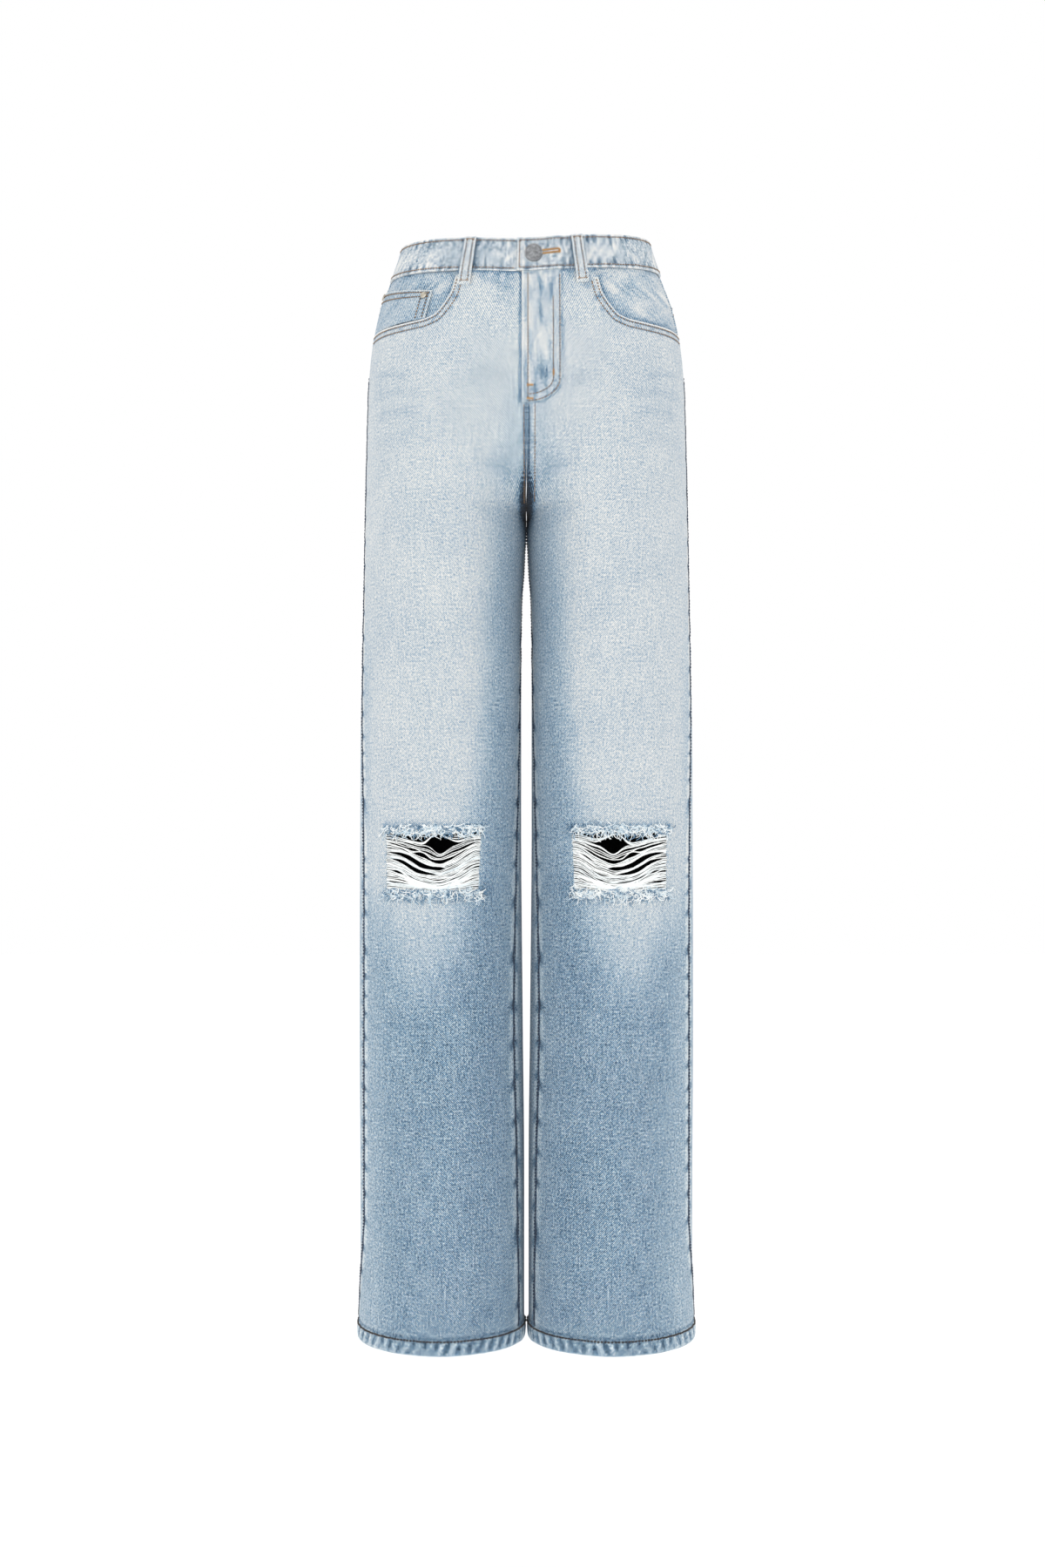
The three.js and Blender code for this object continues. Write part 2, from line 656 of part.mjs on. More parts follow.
const DENIM = { roughness: 0.92, metalness: 0 };
const MATERIALS = {
  denim: { color: '#b9c8d2', ...DENIM },
  band: { color: '#c1ccd3', ...DENIM },
  backing: { color: '#a9bccb', ...DENIM },
  loop: { color: '#ccd6dc', ...DENIM },
  tape: { color: '#8d97a3', roughness: 0.85, metalness: 0 },
  metal: { color: '#b4b3ae', roughness: 0.38, metalness: 1 },
};

const jeans = new THREE.Group();

function add(name, material, geometry, position, turn) {
  const mesh = new THREE.Mesh(geometry, new THREE.MeshStandardMaterial(MATERIALS[material]));
  mesh.name = name;
  if (position) mesh.position.copy(position);
  if (turn) mesh.quaternion.copy(turn);
  jeans.add(mesh);
}

function addHard(name, { geometry, position, turn }) {
  add(name, 'metal', geometry, position, turn);
}

const wasm = await Module();
wasm.setup();

const frontColumns = panelColumns();
const backTop = (side, across) => yokeSeam(across) - HALF_GAP;

[['right', -1], ['left', 1]].forEach(([hand, side]) => {
  const front = legPanel(side, 'front', frontColumns, frontTop, FRONT_BLEND);
  add(`front_${hand}`, 'denim', subtract(front, ripCutter(side)));
  add(`back_${hand}`, 'denim', legPanel(side, 'back', BACK_COLUMNS, backTop, BACK_BLEND));
  add(`yoke_${hand}`, 'denim', yoke(side));
  add(`pocket_backing_${hand}`, 'backing', pocketBacking(side));
  add(`back_pocket_${hand}`, 'denim', backPocket(side));
  const frontLoop = acrossAt('waist', LOOP_FRONT[hand], BAND_FRONT_BOTTOM);
  add(`belt_loop_front_${hand}`, 'loop', beltLoop(side * frontLoop));
  add(`belt_loop_side_${hand}`, 'loop', beltLoop(side * LOOP_SIDE));
});

add('belt_loop_back', 'loop', beltLoop(1));
add('waistband', 'band', waistband());
add('fly', 'denim', fly());
add('zip_tape', 'tape', zipTape());
add('coin_pocket', 'backing', coinPocket());
addHard('zip_slider', zipSlider());
addHard('button', button());
addHard('coin_rivet_outer', rivet(COIN_RIVETS.outer[0], COIN_RIVETS.outer[1]));
addHard('coin_rivet_inner', rivet(COIN_RIVETS.inner[0], COIN_RIVETS.inner[1]));

export default jeans;
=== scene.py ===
"""Ripped wide-leg jeans, in the hollow form they take when worn.

Every piece of cloth follows one surface, worked out from the garment's sizes in millimetres:
half of a level section runs from the centre front round the side to the centre back.
"""
import math

import bmesh
import bpy
import numpy as np
from bpy.props import FloatProperty, FloatVectorProperty, IntProperty, PointerProperty
from mathutils import Matrix, Vector


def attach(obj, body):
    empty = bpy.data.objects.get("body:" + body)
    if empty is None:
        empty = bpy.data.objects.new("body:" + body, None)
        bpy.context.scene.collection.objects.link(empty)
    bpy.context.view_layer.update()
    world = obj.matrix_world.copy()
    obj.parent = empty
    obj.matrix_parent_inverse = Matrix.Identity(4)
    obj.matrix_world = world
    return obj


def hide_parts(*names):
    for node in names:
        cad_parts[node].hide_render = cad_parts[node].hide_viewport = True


bl_info = {
    "name": "Ripped jeans",
    "version": (1, 0, 0),
    "blender": (4, 5, 0),
    "location": "3D View > Sidebar > Jeans",
    "description": "Makes a pair of washed, ripped wide-leg jeans piece by piece",
    "category": "Object",
}

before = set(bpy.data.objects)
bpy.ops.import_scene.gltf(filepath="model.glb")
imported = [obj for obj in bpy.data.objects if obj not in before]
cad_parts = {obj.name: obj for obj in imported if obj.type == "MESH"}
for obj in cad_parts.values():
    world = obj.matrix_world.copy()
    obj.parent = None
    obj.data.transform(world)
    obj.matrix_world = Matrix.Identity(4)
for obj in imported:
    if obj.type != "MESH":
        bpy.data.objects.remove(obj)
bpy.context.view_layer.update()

MM = 0.001
SHARP_ANGLE = 70

# ------------------------------------------------------------------ sizes, in millimetres

PANEL_WALL = 1.5
HEM_WALL = 3.0
BAND_WALL = 2.0
LOOP_WALL = 1.8
PATCH_WALL = 1.2
LAYER_GAP = 0.5
SEAM_GAP = 0.12

BAND_HEIGHT = 31
BAND_FRONT_BOTTOM = -13
BAND_RISE = 27
BAND_RISE_POWER = 0.7
BAND_TILT = 3
BAND_PROUD = 0.4

CROTCH = -229
CROTCH_FRONT_RISE = 70
CROTCH_BACK_RISE = 130
HEM = -1024
HEM_HEIGHT = 15

# [height, size] down the garment
OUTER_HALF = [
    [60, 113], [31, 121.6], [7, 129.6], [-12, 137.3], [-29, 143.2], [-63, 150], [-97, 153.4],
    [-148, 155], [-284, 158], [-454, 161.5], [-726, 162.4], [-930, 161.5], [-1024, 163],
]
INNER_HALF = [
    [-229, 0.15], [-284, 3], [-318, 4.7], [-352, 5.1], [-522, 5.1], [-726, 3.4], [-862, 2.1],
]
FRONT_DEPTH = [
    [60, 92], [18, 94], [-13, 97], [-63, 106], [-148, 112], [-229, 110], [-284, 104],
    [-454, 90], [-522, 84], [-700, 79], [-1024, 78],
]
BACK_DEPTH = [
    [60, 92], [30, 95], [14, 99], [-30, 112], [-63, 121], [-148, 135], [-200, 133],
    [-284, 110], [-454, 86], [-522, 80], [-700, 79], [-1024, 78],
]
MIDDLE_DEPTH = [[30, 0], [-148, 8], [-229, 8], [-454, 0]]
FRONT_CROWN = [[60, 20], [-13, 24], [-63, 45], [-148, 62], [-229, 76], [-320, 82]]
BACK_CROWN = [[60, 20], [14, 30], [-63, 60], [-148, 72], [-229, 78], [-320, 82]]
SIDE_SEAM_FORWARD = [
    [7, 4], [-63, 6], [-148, 12], [-260, 20], [-400, 27], [-600, 33], [-900, 30], [-1024, 3],
]
INSEAM_FORWARD = [[-229, 0], [-300, 8], [-473, 23], [-730, 38], [-860, 34], [-1024, 29]]

FULLNESS = 0.72
FORK_FULLNESS = 0.28
FORK_SHARE = 0.36
FORK_LEVELS = (-320, -90)
CURVE_STEPS = 24
RING_CELLS = 512
HEIGHT_STEP = 0.5
SLOPE_STEP = 2.0

POCKET_MOUTH = [
    [65.6, -17], [70.5, -32], [78, -44], [86, -52.5], [97, -56], [117, -57], [147, -56],
]
FRONT_WIDTH = 165
FRONT_BLEND = -75
BACK_BLEND = -90
POCKET_BACKING_START = 0.3
POCKET_BACKING_BOTTOM = -88
YOKE_SIDE = -32
YOKE_CENTRE = -60

FLY_EDGE = -4.4
FLY_WIDTH = 32
FLY_KNEE = -115
FLY_DROP = 22.5
FLY_OUT = 1.5

ZIP_CENTRE = 6
ZIP_HALF_WIDTH = 13
ZIP_BOTTOM = -118
ZIP_WALL = 1

OVER_END = -9
UNDER_END = 24
OVER_EASE = (27, 43)
BUTTON_X = 6.8
BUTTON_Z = 3

COIN_SIDE = -1
COIN_TOP = (88.5, -27.5)
COIN_BOTTOM = (95, -55.2)
COIN_OUTER_TOP = -11.5
COIN_OUT = PATCH_WALL - PANEL_WALL
# Scale, across and down, by which the rows and edges of the pocket are set out
COIN_ACROSS = 62
COIN_DOWN = 30
# Each rivet's share across the front, and its height
COIN_RIVETS = ((0.93, -17.5), (0.509, -31.5))

BACK_POCKET_SHARES = (0.2, 0.8)
BACK_POCKET_TAPER = 0.02
BACK_POCKET_BELOW = 12
BACK_POCKET_HEIGHT = 126
BACK_POCKET_POINT = 16
# The same for a back pocket: across, down its sides and down to its point
BACK_POCKET_ACROSS = 108
BACK_POCKET_DOWN = 130
BACK_POCKET_MIDDLE = 136
BACK_POCKET_HEM = 13

LOOP_WIDTH = 11
LOOP_BELOW = 14
LOOP_BULGE = 1.6
LOOP_FRONT = {-1: 56, 1: 50.5}
LOOP_SIDE = 0.66

RIP_X = 88
RIP_Z = -560
RIP_HALF_WIDTH = 44.5
RIP_HALF_HEIGHT = 27
FRAY_RISE = 31
YARN_REACH = 48
GAP_SPREAD = 1.38
FRINGE_DROOP = 0.108

HANDS = {-1: "right", 1: "left"}

# ------------------------------------------------------------------ small maths


def smooth(low, high, value):
    """0 below low, 1 above high, and an easy slope between."""
    t = np.clip((np.asarray(value, float) - low) / (high - low), 0, 1)
    return t * t * (3 - 2 * t)


def mound(distance, width):
    """1 at no distance, falling softly to 0 past the width."""
    return np.exp(-((np.asarray(distance, float) / width) ** 2))


def mix(a, b, share):
    return a + (b - a) * share


def wander(position, period, seed):
    """Smooth random line from -1 to 1 along a position."""
    knots = np.random.default_rng(seed).uniform(-1, 1, 1024)
    place = np.asarray(position, float) / period + 512
    cell = np.floor(place).astype(int) % 1023
    t = place % 1
    t = t * t * (3 - 2 * t)
    return mix(knots[cell], knots[cell + 1], t)


def profile(stations, heights):
    """Smooth curve through the stations, level beyond its ends, never overshooting them."""
    z, v = np.array(sorted(stations), float).T
    heights = np.clip(np.asarray(heights, float), z[0], z[-1])
    span = np.diff(z)
    slope = np.diff(v) / span
    before, after = slope[:-1], slope[1:]
    tangent = np.zeros(len(z))
    safe = np.where(before * after > 0, before + after, 1)
    tangent[1:-1] = np.where(before * after > 0, 2 * before * after / safe, 0)
    i = np.clip(np.searchsorted(z, heights, side="right") - 1, 0, len(span) - 1)
    t = (heights - z[i]) / span[i]
    rise = v[i] * (1 + 2 * t) * (1 - t) ** 2 + v[i + 1] * t * t * (3 - 2 * t)
    lean = tangent[i] * (1 - t) ** 2 * t + tangent[i + 1] * t * t * (t - 1)
    return rise + lean * span[i]


# ------------------------------------------------------------------ garment surface


def crotch_reach(heights, rise):
    """How far the crotch seam has run out from the crotch point, from 0 to 1."""
    t = np.clip((heights - CROTCH) / rise, 0, 1)
    return np.sqrt(1 - (1 - t) ** 2)


def level_sections(heights):
    """Half sections at many heights: points evenly spaced along each, side and whole lengths."""
    outer = profile(OUTER_HALF, heights)
    inner = profile(INNER_HALF, heights)
    front = -profile(FRONT_DEPTH, heights)
    back = profile(BACK_DEPTH, heights)
    middle = profile(MIDDLE_DEPTH, heights)
    front_crown = profile(FRONT_CROWN, heights)
    back_crown = profile(BACK_CROWN, heights)
    front_reach = crotch_reach(heights, CROTCH_FRONT_RISE)
    back_reach = crotch_reach(heights, CROTCH_BACK_RISE)
    front_end = mix(middle, front, front_reach)
    back_end = mix(middle, back, back_reach)
    fullness = [
        mix(FULLNESS, FORK_FULLNESS, smooth(0, 0.8, front_reach)), FULLNESS, FULLNESS,
        mix(FULLNESS, FORK_FULLNESS, smooth(0, 0.8, back_reach)),
    ]
    arcs = [
        ((inner, front_end), (inner, front), (front_crown, front)),
        ((front_crown, front), (outer, front), (outer, middle)),
        ((outer, middle), (outer, back), (back_crown, back)),
        ((back_crown, back), (inner, back), (inner, back_end)),
    ]
    t = (np.arange(1, CURVE_STEPS + 1) / CURVE_STEPS)[None, :, None]
    lines = [np.stack([inner, front_end], -1)[:, None]]
    for arc, full in zip(arcs, fullness):
        full = np.broadcast_to(full, heights.shape)[:, None, None]
        a, b, c = (1 - t) ** 2, 2 * t * (1 - t) * full, t * t
        start, corner, end = (np.stack(point, -1)[:, None] for point in arc)
        lines.append((start * a + corner * b + end * c) / (a + b + c))
    points = np.concatenate(lines, 1)
    steps = np.linalg.norm(np.diff(points, axis=1), axis=2)
    lengths = np.concatenate([np.zeros((len(heights), 1)), np.cumsum(steps, 1)], 1)
    shares = np.linspace(0, 1, RING_CELLS + 1)
    even = np.empty((len(heights), RING_CELLS + 1, 2))
    for row, (length, line) in enumerate(zip(lengths, points)):
        for axis in (0, 1):
            even[row, :, axis] = np.interp(shares * length[-1], length, line[:, axis])
    return even, lengths[:, 2 * CURVE_STEPS], lengths[:, -1]


HEIGHTS = np.arange(HEM - 8, 64, HEIGHT_STEP)
RINGS, SIDE_LENGTHS, TOTAL_LENGTHS = level_sections(HEIGHTS)


def side_length(height):
    return np.interp(height, HEIGHTS, SIDE_LENGTHS)


def total_length(height):
    return np.interp(height, HEIGHTS, TOTAL_LENGTHS)


# Half way round the garment, level with the waistband's lower edge at the front
BAND_HALF = float(total_length(BAND_FRONT_BOTTOM))


def ring_point(distance, height):
    """Point of the bare surface a distance round the half section, for +X."""
    distance, height = np.broadcast_arrays(np.asarray(distance, float), height)
    share = distance / total_length(height)
    share = np.where(height < CROTCH, share % 1.0, np.clip(share, 0, 1))
    row = np.clip((height - HEIGHTS[0]) / HEIGHT_STEP, 0, len(HEIGHTS) - 1.001)
    column = np.clip(share * RING_CELLS, 0, RING_CELLS - 1e-6)
    r, c = row.astype(int), column.astype(int)
    u, v = (row - r)[..., None], (column - c)[..., None]
    upper = mix(RINGS[r + 1, c], RINGS[r + 1, c + 1], v)
    lower = mix(RINGS[r, c], RINGS[r, c + 1], v)
    level = mix(lower, upper, u)
    return np.concatenate([level, np.asarray(height, float)[..., None]], -1)


def skin(side, distance, height):
    """Points of the bare surface and its outward normals on one half of the garment."""
    distance, height = np.broadcast_arrays(np.asarray(distance, float), height)
    point = ring_point(distance, height)
    across = ring_point(distance + SLOPE_STEP, height) - ring_point(distance - SLOPE_STEP, height)
    past_side = distance - side_length(height)
    up = ring_point(past_side + side_length(height + SLOPE_STEP), height + SLOPE_STEP)
    low = height - SLOPE_STEP
    up = up - ring_point(past_side + side_length(low), low)
    normal = np.cross(up, across)
    normal /= np.linalg.norm(normal, axis=-1, keepdims=True)
    middle = (profile(INNER_HALF, height) + profile(OUTER_HALF, height)) / 2
    outward = np.stack([point[..., 0] - middle, point[..., 1]], -1)
    turned = (normal[..., :2] * outward).sum(-1) < 0
    normal[turned] *= -1
    mirror = np.array([side, 1, 1])
    return point * mirror, normal * mirror


def mirror_of(x):
    """Factors that move points made for +X to the half that x is on."""
    side = np.where(x < 0, -1, 1)
    return np.stack([side, np.ones_like(side), np.ones_like(side)], -1)


def region_span(region, height):
    """Where a region of cloth starts and ends round the half section."""
    side = side_length(height) - profile(SIDE_SEAM_FORWARD, height)
    total = total_length(height)
    below = height < CROTCH
    forward = np.where(below, profile(INSEAM_FORWARD, height), 0)
    if region == "front":
        return forward, side
    return side, total + forward


def even_width(region, height):
    """Width of a region, changing evenly past the crotch, where the true width jumps."""
    below, above = FORK_LEVELS
    ends = [np.subtract(*region_span(region, np.float64(z))[::-1]) for z in (below, above)]
    start, end = region_span(region, height)
    eased = mix(ends[0], ends[1], smooth(below, above, height))
    return np.where((height >= above) | (height <= below), end - start, eased)


def distance_at(region, across, height):
    """Distance round the half section at a share across a region."""
    across, height = np.broadcast_arrays(np.asarray(across, float), np.asarray(height, float))
    start, end = region_span(region, height)
    width = end - start - SEAM_GAP
    straight = even_width(region, height) * (1 - FORK_SHARE)
    outer = 1 - across if region == "front" else across
    held = outer * (straight / (1 - FORK_SHARE))
    spread = straight + ((outer + FORK_SHARE - 1) / FORK_SHARE) * (width - straight)
    reach = np.where(outer < 1 - FORK_SHARE, held, spread)
    return start + SEAM_GAP / 2 + (width - reach if region == "front" else reach)


def distance_of_x(x, height):
    """Distance round the front at which the surface is x from the centre line."""
    x, height = np.broadcast_arrays(np.asarray(x, float), np.asarray(height, float))
    start, _ = region_span("front", height)
    low, high = start.copy(), side_length(height) + 0.0
    for _ in range(26):
        middle = (low + high) / 2
        short = ring_point(middle, height)[..., 0] < x
        low, high = np.where(short, middle, low), np.where(short, high, middle)
    return (low + high) / 2


def across_of_x(region, x, height):
    start, end = region_span(region, np.asarray(height, float))
    return (distance_of_x(x, height) - start) / (end - start)


def band_edge(around):
    """Height of the waistband's lower edge round the waist, from -1 to 1."""
    rise = ((1 - np.cos(np.pi * around)) / 2) ** BAND_RISE_POWER
    return BAND_FRONT_BOTTOM + BAND_RISE * rise + BAND_TILT * np.sin(np.pi * around)


def band_edge_over(side, region, across):
    """The same edge where it crosses a column of a region."""
    start, end = region_span(region, np.float64(BAND_FRONT_BOTTOM))
    return band_edge(side * mix(start, end, across) / BAND_HALF)


def pocket_mouth(x):
    return profile(POCKET_MOUTH, x)


def front_top(side, across):
    """Top edge of a front panel: under the waistband, then along the pocket mouth."""
    band = band_edge_over(side, "front", across) - SEAM_GAP
    height = band.copy()
    for _ in range(14):
        x = ring_point(distance_at("front", across, height), height)[..., 0]
        height = np.where(x < POCKET_MOUTH[0][0], band, pocket_mouth(x))
    return height


def yoke_seam(across):
    return mix(YOKE_SIDE, YOKE_CENTRE, across)


# ------------------------------------------------------------------ folds, seams and wash

# Creases of the front: side of the body, points (x, z), width, depth and how blue they look
FRONT_CREASES = [
    (-1, [(8, -31), (22, -26), (41, -17)], 2.6, 0.7, 0.55),
    (-1, [(6, -36), (16, -33), (30, -27)], 2.2, 0.5, 0.35),
    (-1, [(6, -46), (20, -40), (33, -36)], 3.0, 0.4, 0.22),
    (1, [(50, -18), (55, -24), (61, -30)], 2.4, 0.8, 0.6),
    (1, [(36, -20), (42, -30), (44, -42)], 3.4, 0.4, 0.2),
    (-1, [(14, -122), (30, -110), (52, -104)], 7.0, 0.9, 0.1),
    (1, [(36, -124), (50, -112), (70, -106)], 7.0, 0.9, 0.1),
    (-1, [(5, -214), (24, -196), (52, -186)], 7.0, 1.1, 0.2),
    (1, [(5, -214), (24, -196), (52, -186)], 7.0, 1.1, 0.2),
    (-1, [(6, -250), (26, -236), (50, -232)], 8.0, 1.0, 0.12),
    (1, [(6, -250), (26, -236), (50, -232)], 8.0, 1.0, 0.12),
]
# Whiskers at the hips: points (x, z), width, depth and how pale or blue they look
HIP_WHISKERS = [
    ([(100, -112), (125, -104), (150, -100)], 4.0, 0.3, 0.2),
    ([(96, -128), (124, -121), (152, -120)], 4.5, 0.3, 0.16),
    ([(92, -146), (120, -140), (152, -141)], 5.0, 0.3, 0.14),
    ([(96, -168), (126, -165), (154, -168)], 6.0, 0.2, 0.08),
]
BACK_CREASES = [
    ([(8, -196), (40, -190), (84, -178)], 8.0, 1.2, 0.2),
    ([(14, -226), (50, -222), (100, -212)], 9.0, 1.1, 0.14),
    ([(24, -536), (70, -548), (120, -540)], 9.0, 1.0, 0.16),
    ([(30, -566), (74, -574), (124, -572)], 9.0, 1.0, 0.16),
    ([(26, -598), (66, -606), (116, -600)], 10.0, 0.9, 0.12),
]
# Long soft folds down the lower legs: x at the knee, x at the hem, width, depth
LEG_FOLDS = [(62, 50, 15, 1.3), (104, 112, 18, 1.1), (134, 139, 12, 0.8)]

# Creases of the waistband: points (distance round, height on it), width, depth, blue
BAND_CREASES = [
    ([(2, 27), (12, 28), (22, 24)], 4.5, 0.2, 0.4),
    ([(56, 8), (80, 5), (106, 2)], 2.6, 0.6, 0.5),
    ([(100, 22), (110, 12), (120, -2)], 2.6, -0.9, 0.0),
    ([(112, 22), (122, 12), (132, -2)], 5.5, 0.5, 0.4),
    ([(-64, 14), (-90, 10), (-118, 13)], 3.0, 0.4, 0.15),
    ([(-16, 24), (-30, 20), (-48, 22)], 3.0, 0.35, 0.15),
    ([(-210, 16), (-240, 12), (-280, 17)], 4.0, 0.5, 0.2),
    ([(210, 14), (250, 18), (290, 12)], 4.0, 0.5, 0.2),
]
# Creases of the fly: points (x, z), width, depth and how blue they look
FLY_CREASES = [
    ([(12.5, -10), (12.6, -30), (13, -74)], 2.0, 0.7, 0.5),
    ([(25, -10), (23, -30), (20.5, -52)], 2.4, 0.7, 0.5),
    ([(8, -104), (16, -110), (24, -114)], 5.0, 0.5, 0.4),
    ([(3, -120), (7, -126), (11, -130)], 4.0, 0.4, 0.45),
]

INSEAM_PUCKER = 41
SIDE_PUCKER = 23
HEM_ROPING = 11.2

# The pale thigh: x of its inner and outer edges at heights, and its strength down the leg
PALE_INNER = [
    [-60, -20], [-115, 6], [-164, 16], [-196, 22], [-228, 22], [-277, 27], [-327, 31],
    [-391, 33], [-456, 38], [-512, 45], [-560, 51], [-605, 59], [-634, 65], [-658, 72],
    [-700, 86],
]
PALE_OUTER = [[-500, 200], [-560, 180], [-605, 142], [-640, 130], [-700, 122]]
PALE_DOWN = [
    [-560, 1], [-605, 0.87], [-634, 0.74], [-658, 0.6], [-682, 0.38], [-715, 0.05], [-740, 0],
]


def along_line(points, x, z):
    """Distance of places from a line through points, and how far along it they lie."""
    best = np.full(np.broadcast(x, z).shape, 1e9)
    share = np.zeros_like(best)
    parts = np.array(points, float)
    lengths = np.linalg.norm(np.diff(parts, axis=0), axis=1)
    done = 0.0
    for start, end, length in zip(parts[:-1], parts[1:], lengths):
        way = (end - start) / length
        t = np.clip((x - start[0]) * way[0] + (z - start[1]) * way[1], 0, length)
        away = np.hypot(x - start[0] - way[0] * t, z - start[1] - way[1] * t)
        share = np.where(away < best, (done + t) / lengths.sum(), share)
        best = np.minimum(best, away)
        done += length
    return best, share


def fold(points, width, x, z):
    """How deep in a fold places are, 1 at its bottom and easing off at its ends."""
    away, share = along_line(points, x, z)
    return mound(away, width) * smooth(0, 0.3, share) * smooth(0, 0.3, 1 - share)


def seam_marks(distance, place, period, seed):
    """Ridge and puckers beside a seam: lift, blue in the troughs and wear on the tops."""
    shift = wander(place, period * 2.4, seed) * 0.9
    wave = np.sin(2 * np.pi * (place / period + shift + distance * 0.012))
    trough = np.clip(wave - 0.35, 0, 1) ** 1.4 * 1.7
    near = mound(distance, 8.5)
    ridge = 0.35 * smooth(13, 9, distance) - 0.9 * mound(distance, 0.9)
    lift = ridge - 0.75 * trough * near + 0.25 * (wander(place, 6, seed + 1)) * near
    crease = 0.9 * trough * mound(distance - 2.5, 5.5) + 1.0 * mound(distance, 1.6)
    worn = 0.8 * smooth(12, 6, distance) * (1 - trough) * smooth(0.8, 2.5, distance)
    return lift, crease, worn


def leg_marks(side, region, distance, height, point):
    """Lift and wash of a leg panel, as lift, wash with painted shade and light, creases with
    painted shade, and wear at places of the cloth.
    """
    start, end = region_span(region, height)
    x = np.abs(point[..., 0])
    z = point[..., 2]
    outer = (end - distance) if region == "front" else (distance - start)
    inner = (distance - start) if region == "front" else (end - distance)
    seed = 40 + 7 * (region == "back")
    below = smooth(CROTCH + 4, CROTCH - 12, height)

    side_low = smooth(-190, -260, height)
    lift, crease, worn = seam_marks(outer, height, SIDE_PUCKER, seed)
    lift = lift * mix(0.5, 0.7, side_low)
    crease = crease * mix(0.3, 1.0, side_low)
    worn = worn * mix(0.2, 1.0, side_low)
    in_lift, in_crease, in_worn = seam_marks(inner, height, INSEAM_PUCKER, seed + 3)
    lift = lift + in_lift * mix(0.35, 1.0, below)
    crease = np.maximum(crease, in_crease * mix(0.35, 1.0, below))
    worn = worn + in_worn * mix(0.3, 0.9, below)

    creases = []
    if region == "front":
        creases = [item[1:] for item in FRONT_CREASES if item[0] == side] + HIP_WHISKERS
    elif region == "back":
        creases = BACK_CREASES
    for line, width, depth, blue in creases:
        deep = fold(line, width, x, z)
        lift = lift - depth * deep
        crease = np.maximum(crease, blue * deep)
    for knee_x, hem_x, width, depth in LEG_FOLDS:
        centre = mix(knee_x, hem_x, smooth(-560, -1000, z)) + 2 * wander(z, 120, int(knee_x))
        lift = lift - depth * mound(x - centre, width) * smooth(-620, -860, z)

    if region == "front":
        lift, crease, worn = waist_marks(side, distance, x, z, lift, crease, worn)
        # painted shadow: darker bands of cloth under the broken yarn ends along the top and bottom
        # of each rip
        fringe_shadow = smooth(49, 45, np.abs(x - RIP_X)) * (
            mound(z - RIP_Z - FRAY_RISE, 4.5) + mound(z - RIP_Z + FRAY_RISE, 4.5)
        )
        crease = np.maximum(crease, fringe_shadow * (0.7 + 0.3 * wander(x + 0.4 * z, 3, 19)))

    lift, crease, worn = hem_marks(distance, height - HEM, lift, crease, worn)
    fade = leg_wash_and_shade(region, x, z)
    # No wear in the painted shade of the crotch
    worn = worn * (1 - mound(x, 12) * mound(z + 224, 24))
    return lift, fade, np.clip(crease, 0, 1.4), np.clip(worn, 0, 1)


def hem_marks(distance, hem, lift, crease, worn):
    """Adds the roped hem to a leg's marks, at distances round it and heights above its edge."""
    inside = smooth(HEM_HEIGHT + 1.2, HEM_HEIGHT - 0.6, hem)
    roping = np.sin(2 * np.pi * (distance / HEM_ROPING + hem * 0.035) + wander(distance, 30, 9))
    swell = np.sin(np.pi * np.clip(hem / HEM_HEIGHT, 0, 1)) ** 0.7
    lift = lift + inside * (0.9 + 0.95 * roping * swell)
    lift = lift - 0.8 * mound(hem - HEM_HEIGHT - 0.6, 1.4)
    crease = np.maximum(crease, inside * np.clip(-roping, 0, 1) * 1.0 * swell)
    crease = np.maximum(crease, 0.4 * mound(hem - HEM_HEIGHT - 0.8, 1.3))
    worn = worn + inside * (1.1 * np.clip(roping, 0, 1) * swell + 0.6 * mound(hem, 2.2))
    worn = worn + 0.5 * mound(hem - HEM_HEIGHT - 3, 1.6)
    return lift, crease, worn


def waist_marks(side, distance, x, z, lift, crease, worn):
    """Adds what lies along a front panel's waist seam, pocket mouth and fly, with painted shadow
    under the waistband, beside the fly and at the crotch.
    """
    below = band_edge(side * distance / BAND_HALF) - z
    tuck = np.clip(wander(distance, 4.5, 12) * 1.6, 0, 1)
    # painted shadow: a dark line just under the waistband's edge
    crease = np.maximum(crease, 1.1 * mound(below - 0.6, 1.6))
    crease = np.maximum(crease, 0.8 * tuck * mound(below - 2, 9) * (x < 62))
    lift = lift - 0.35 * tuck * mound(below - 2, 6)
    mouth = along_line(POCKET_MOUTH, x, z)[0] + 99 * (below < 1)
    mottle = np.clip(wander(distance + 0.8 * z, 3.4, 13) * 1.5, 0, 1)
    crease = np.maximum(crease, 0.95 * (mound(mouth - 2.4, 0.9) + mound(mouth - 7.4, 0.9)))
    crease = np.maximum(crease, 0.5 * mottle * mound(mouth - 5, 3))
    worn = np.maximum(worn, 0.9 * smooth(1.9, 0.8, mouth))
    lift = lift + 0.3 * smooth(2.2, 0.8, mouth) - 0.25 * mottle * mound(mouth - 4.6, 2)
    # painted shadow: a dark line beside the fly's folded edge on one side, and beside its curved
    # edge on the other
    upper = smooth(-141, -136, z)
    if side < 0:
        crease = np.maximum(crease, 1.1 * mound(x - 5.6, 1.5) * upper)
    else:
        edge = along_line(fly_curve(), x, z)[0]
        crease = np.maximum(crease, 0.8 * mound(edge, 1.5) * upper)
    seam = smooth(-136, -141, z)
    crease = np.maximum(crease, 0.9 * mound(x - 1.6, 1.6) * seam * smooth(-236, -228, z))
    # painted shade: a dark patch at the crotch, where the legs meet
    crease = np.maximum(crease, 2.2 * mound(x, 5.5) * mound(z + 220, 16))
    return lift, crease, worn


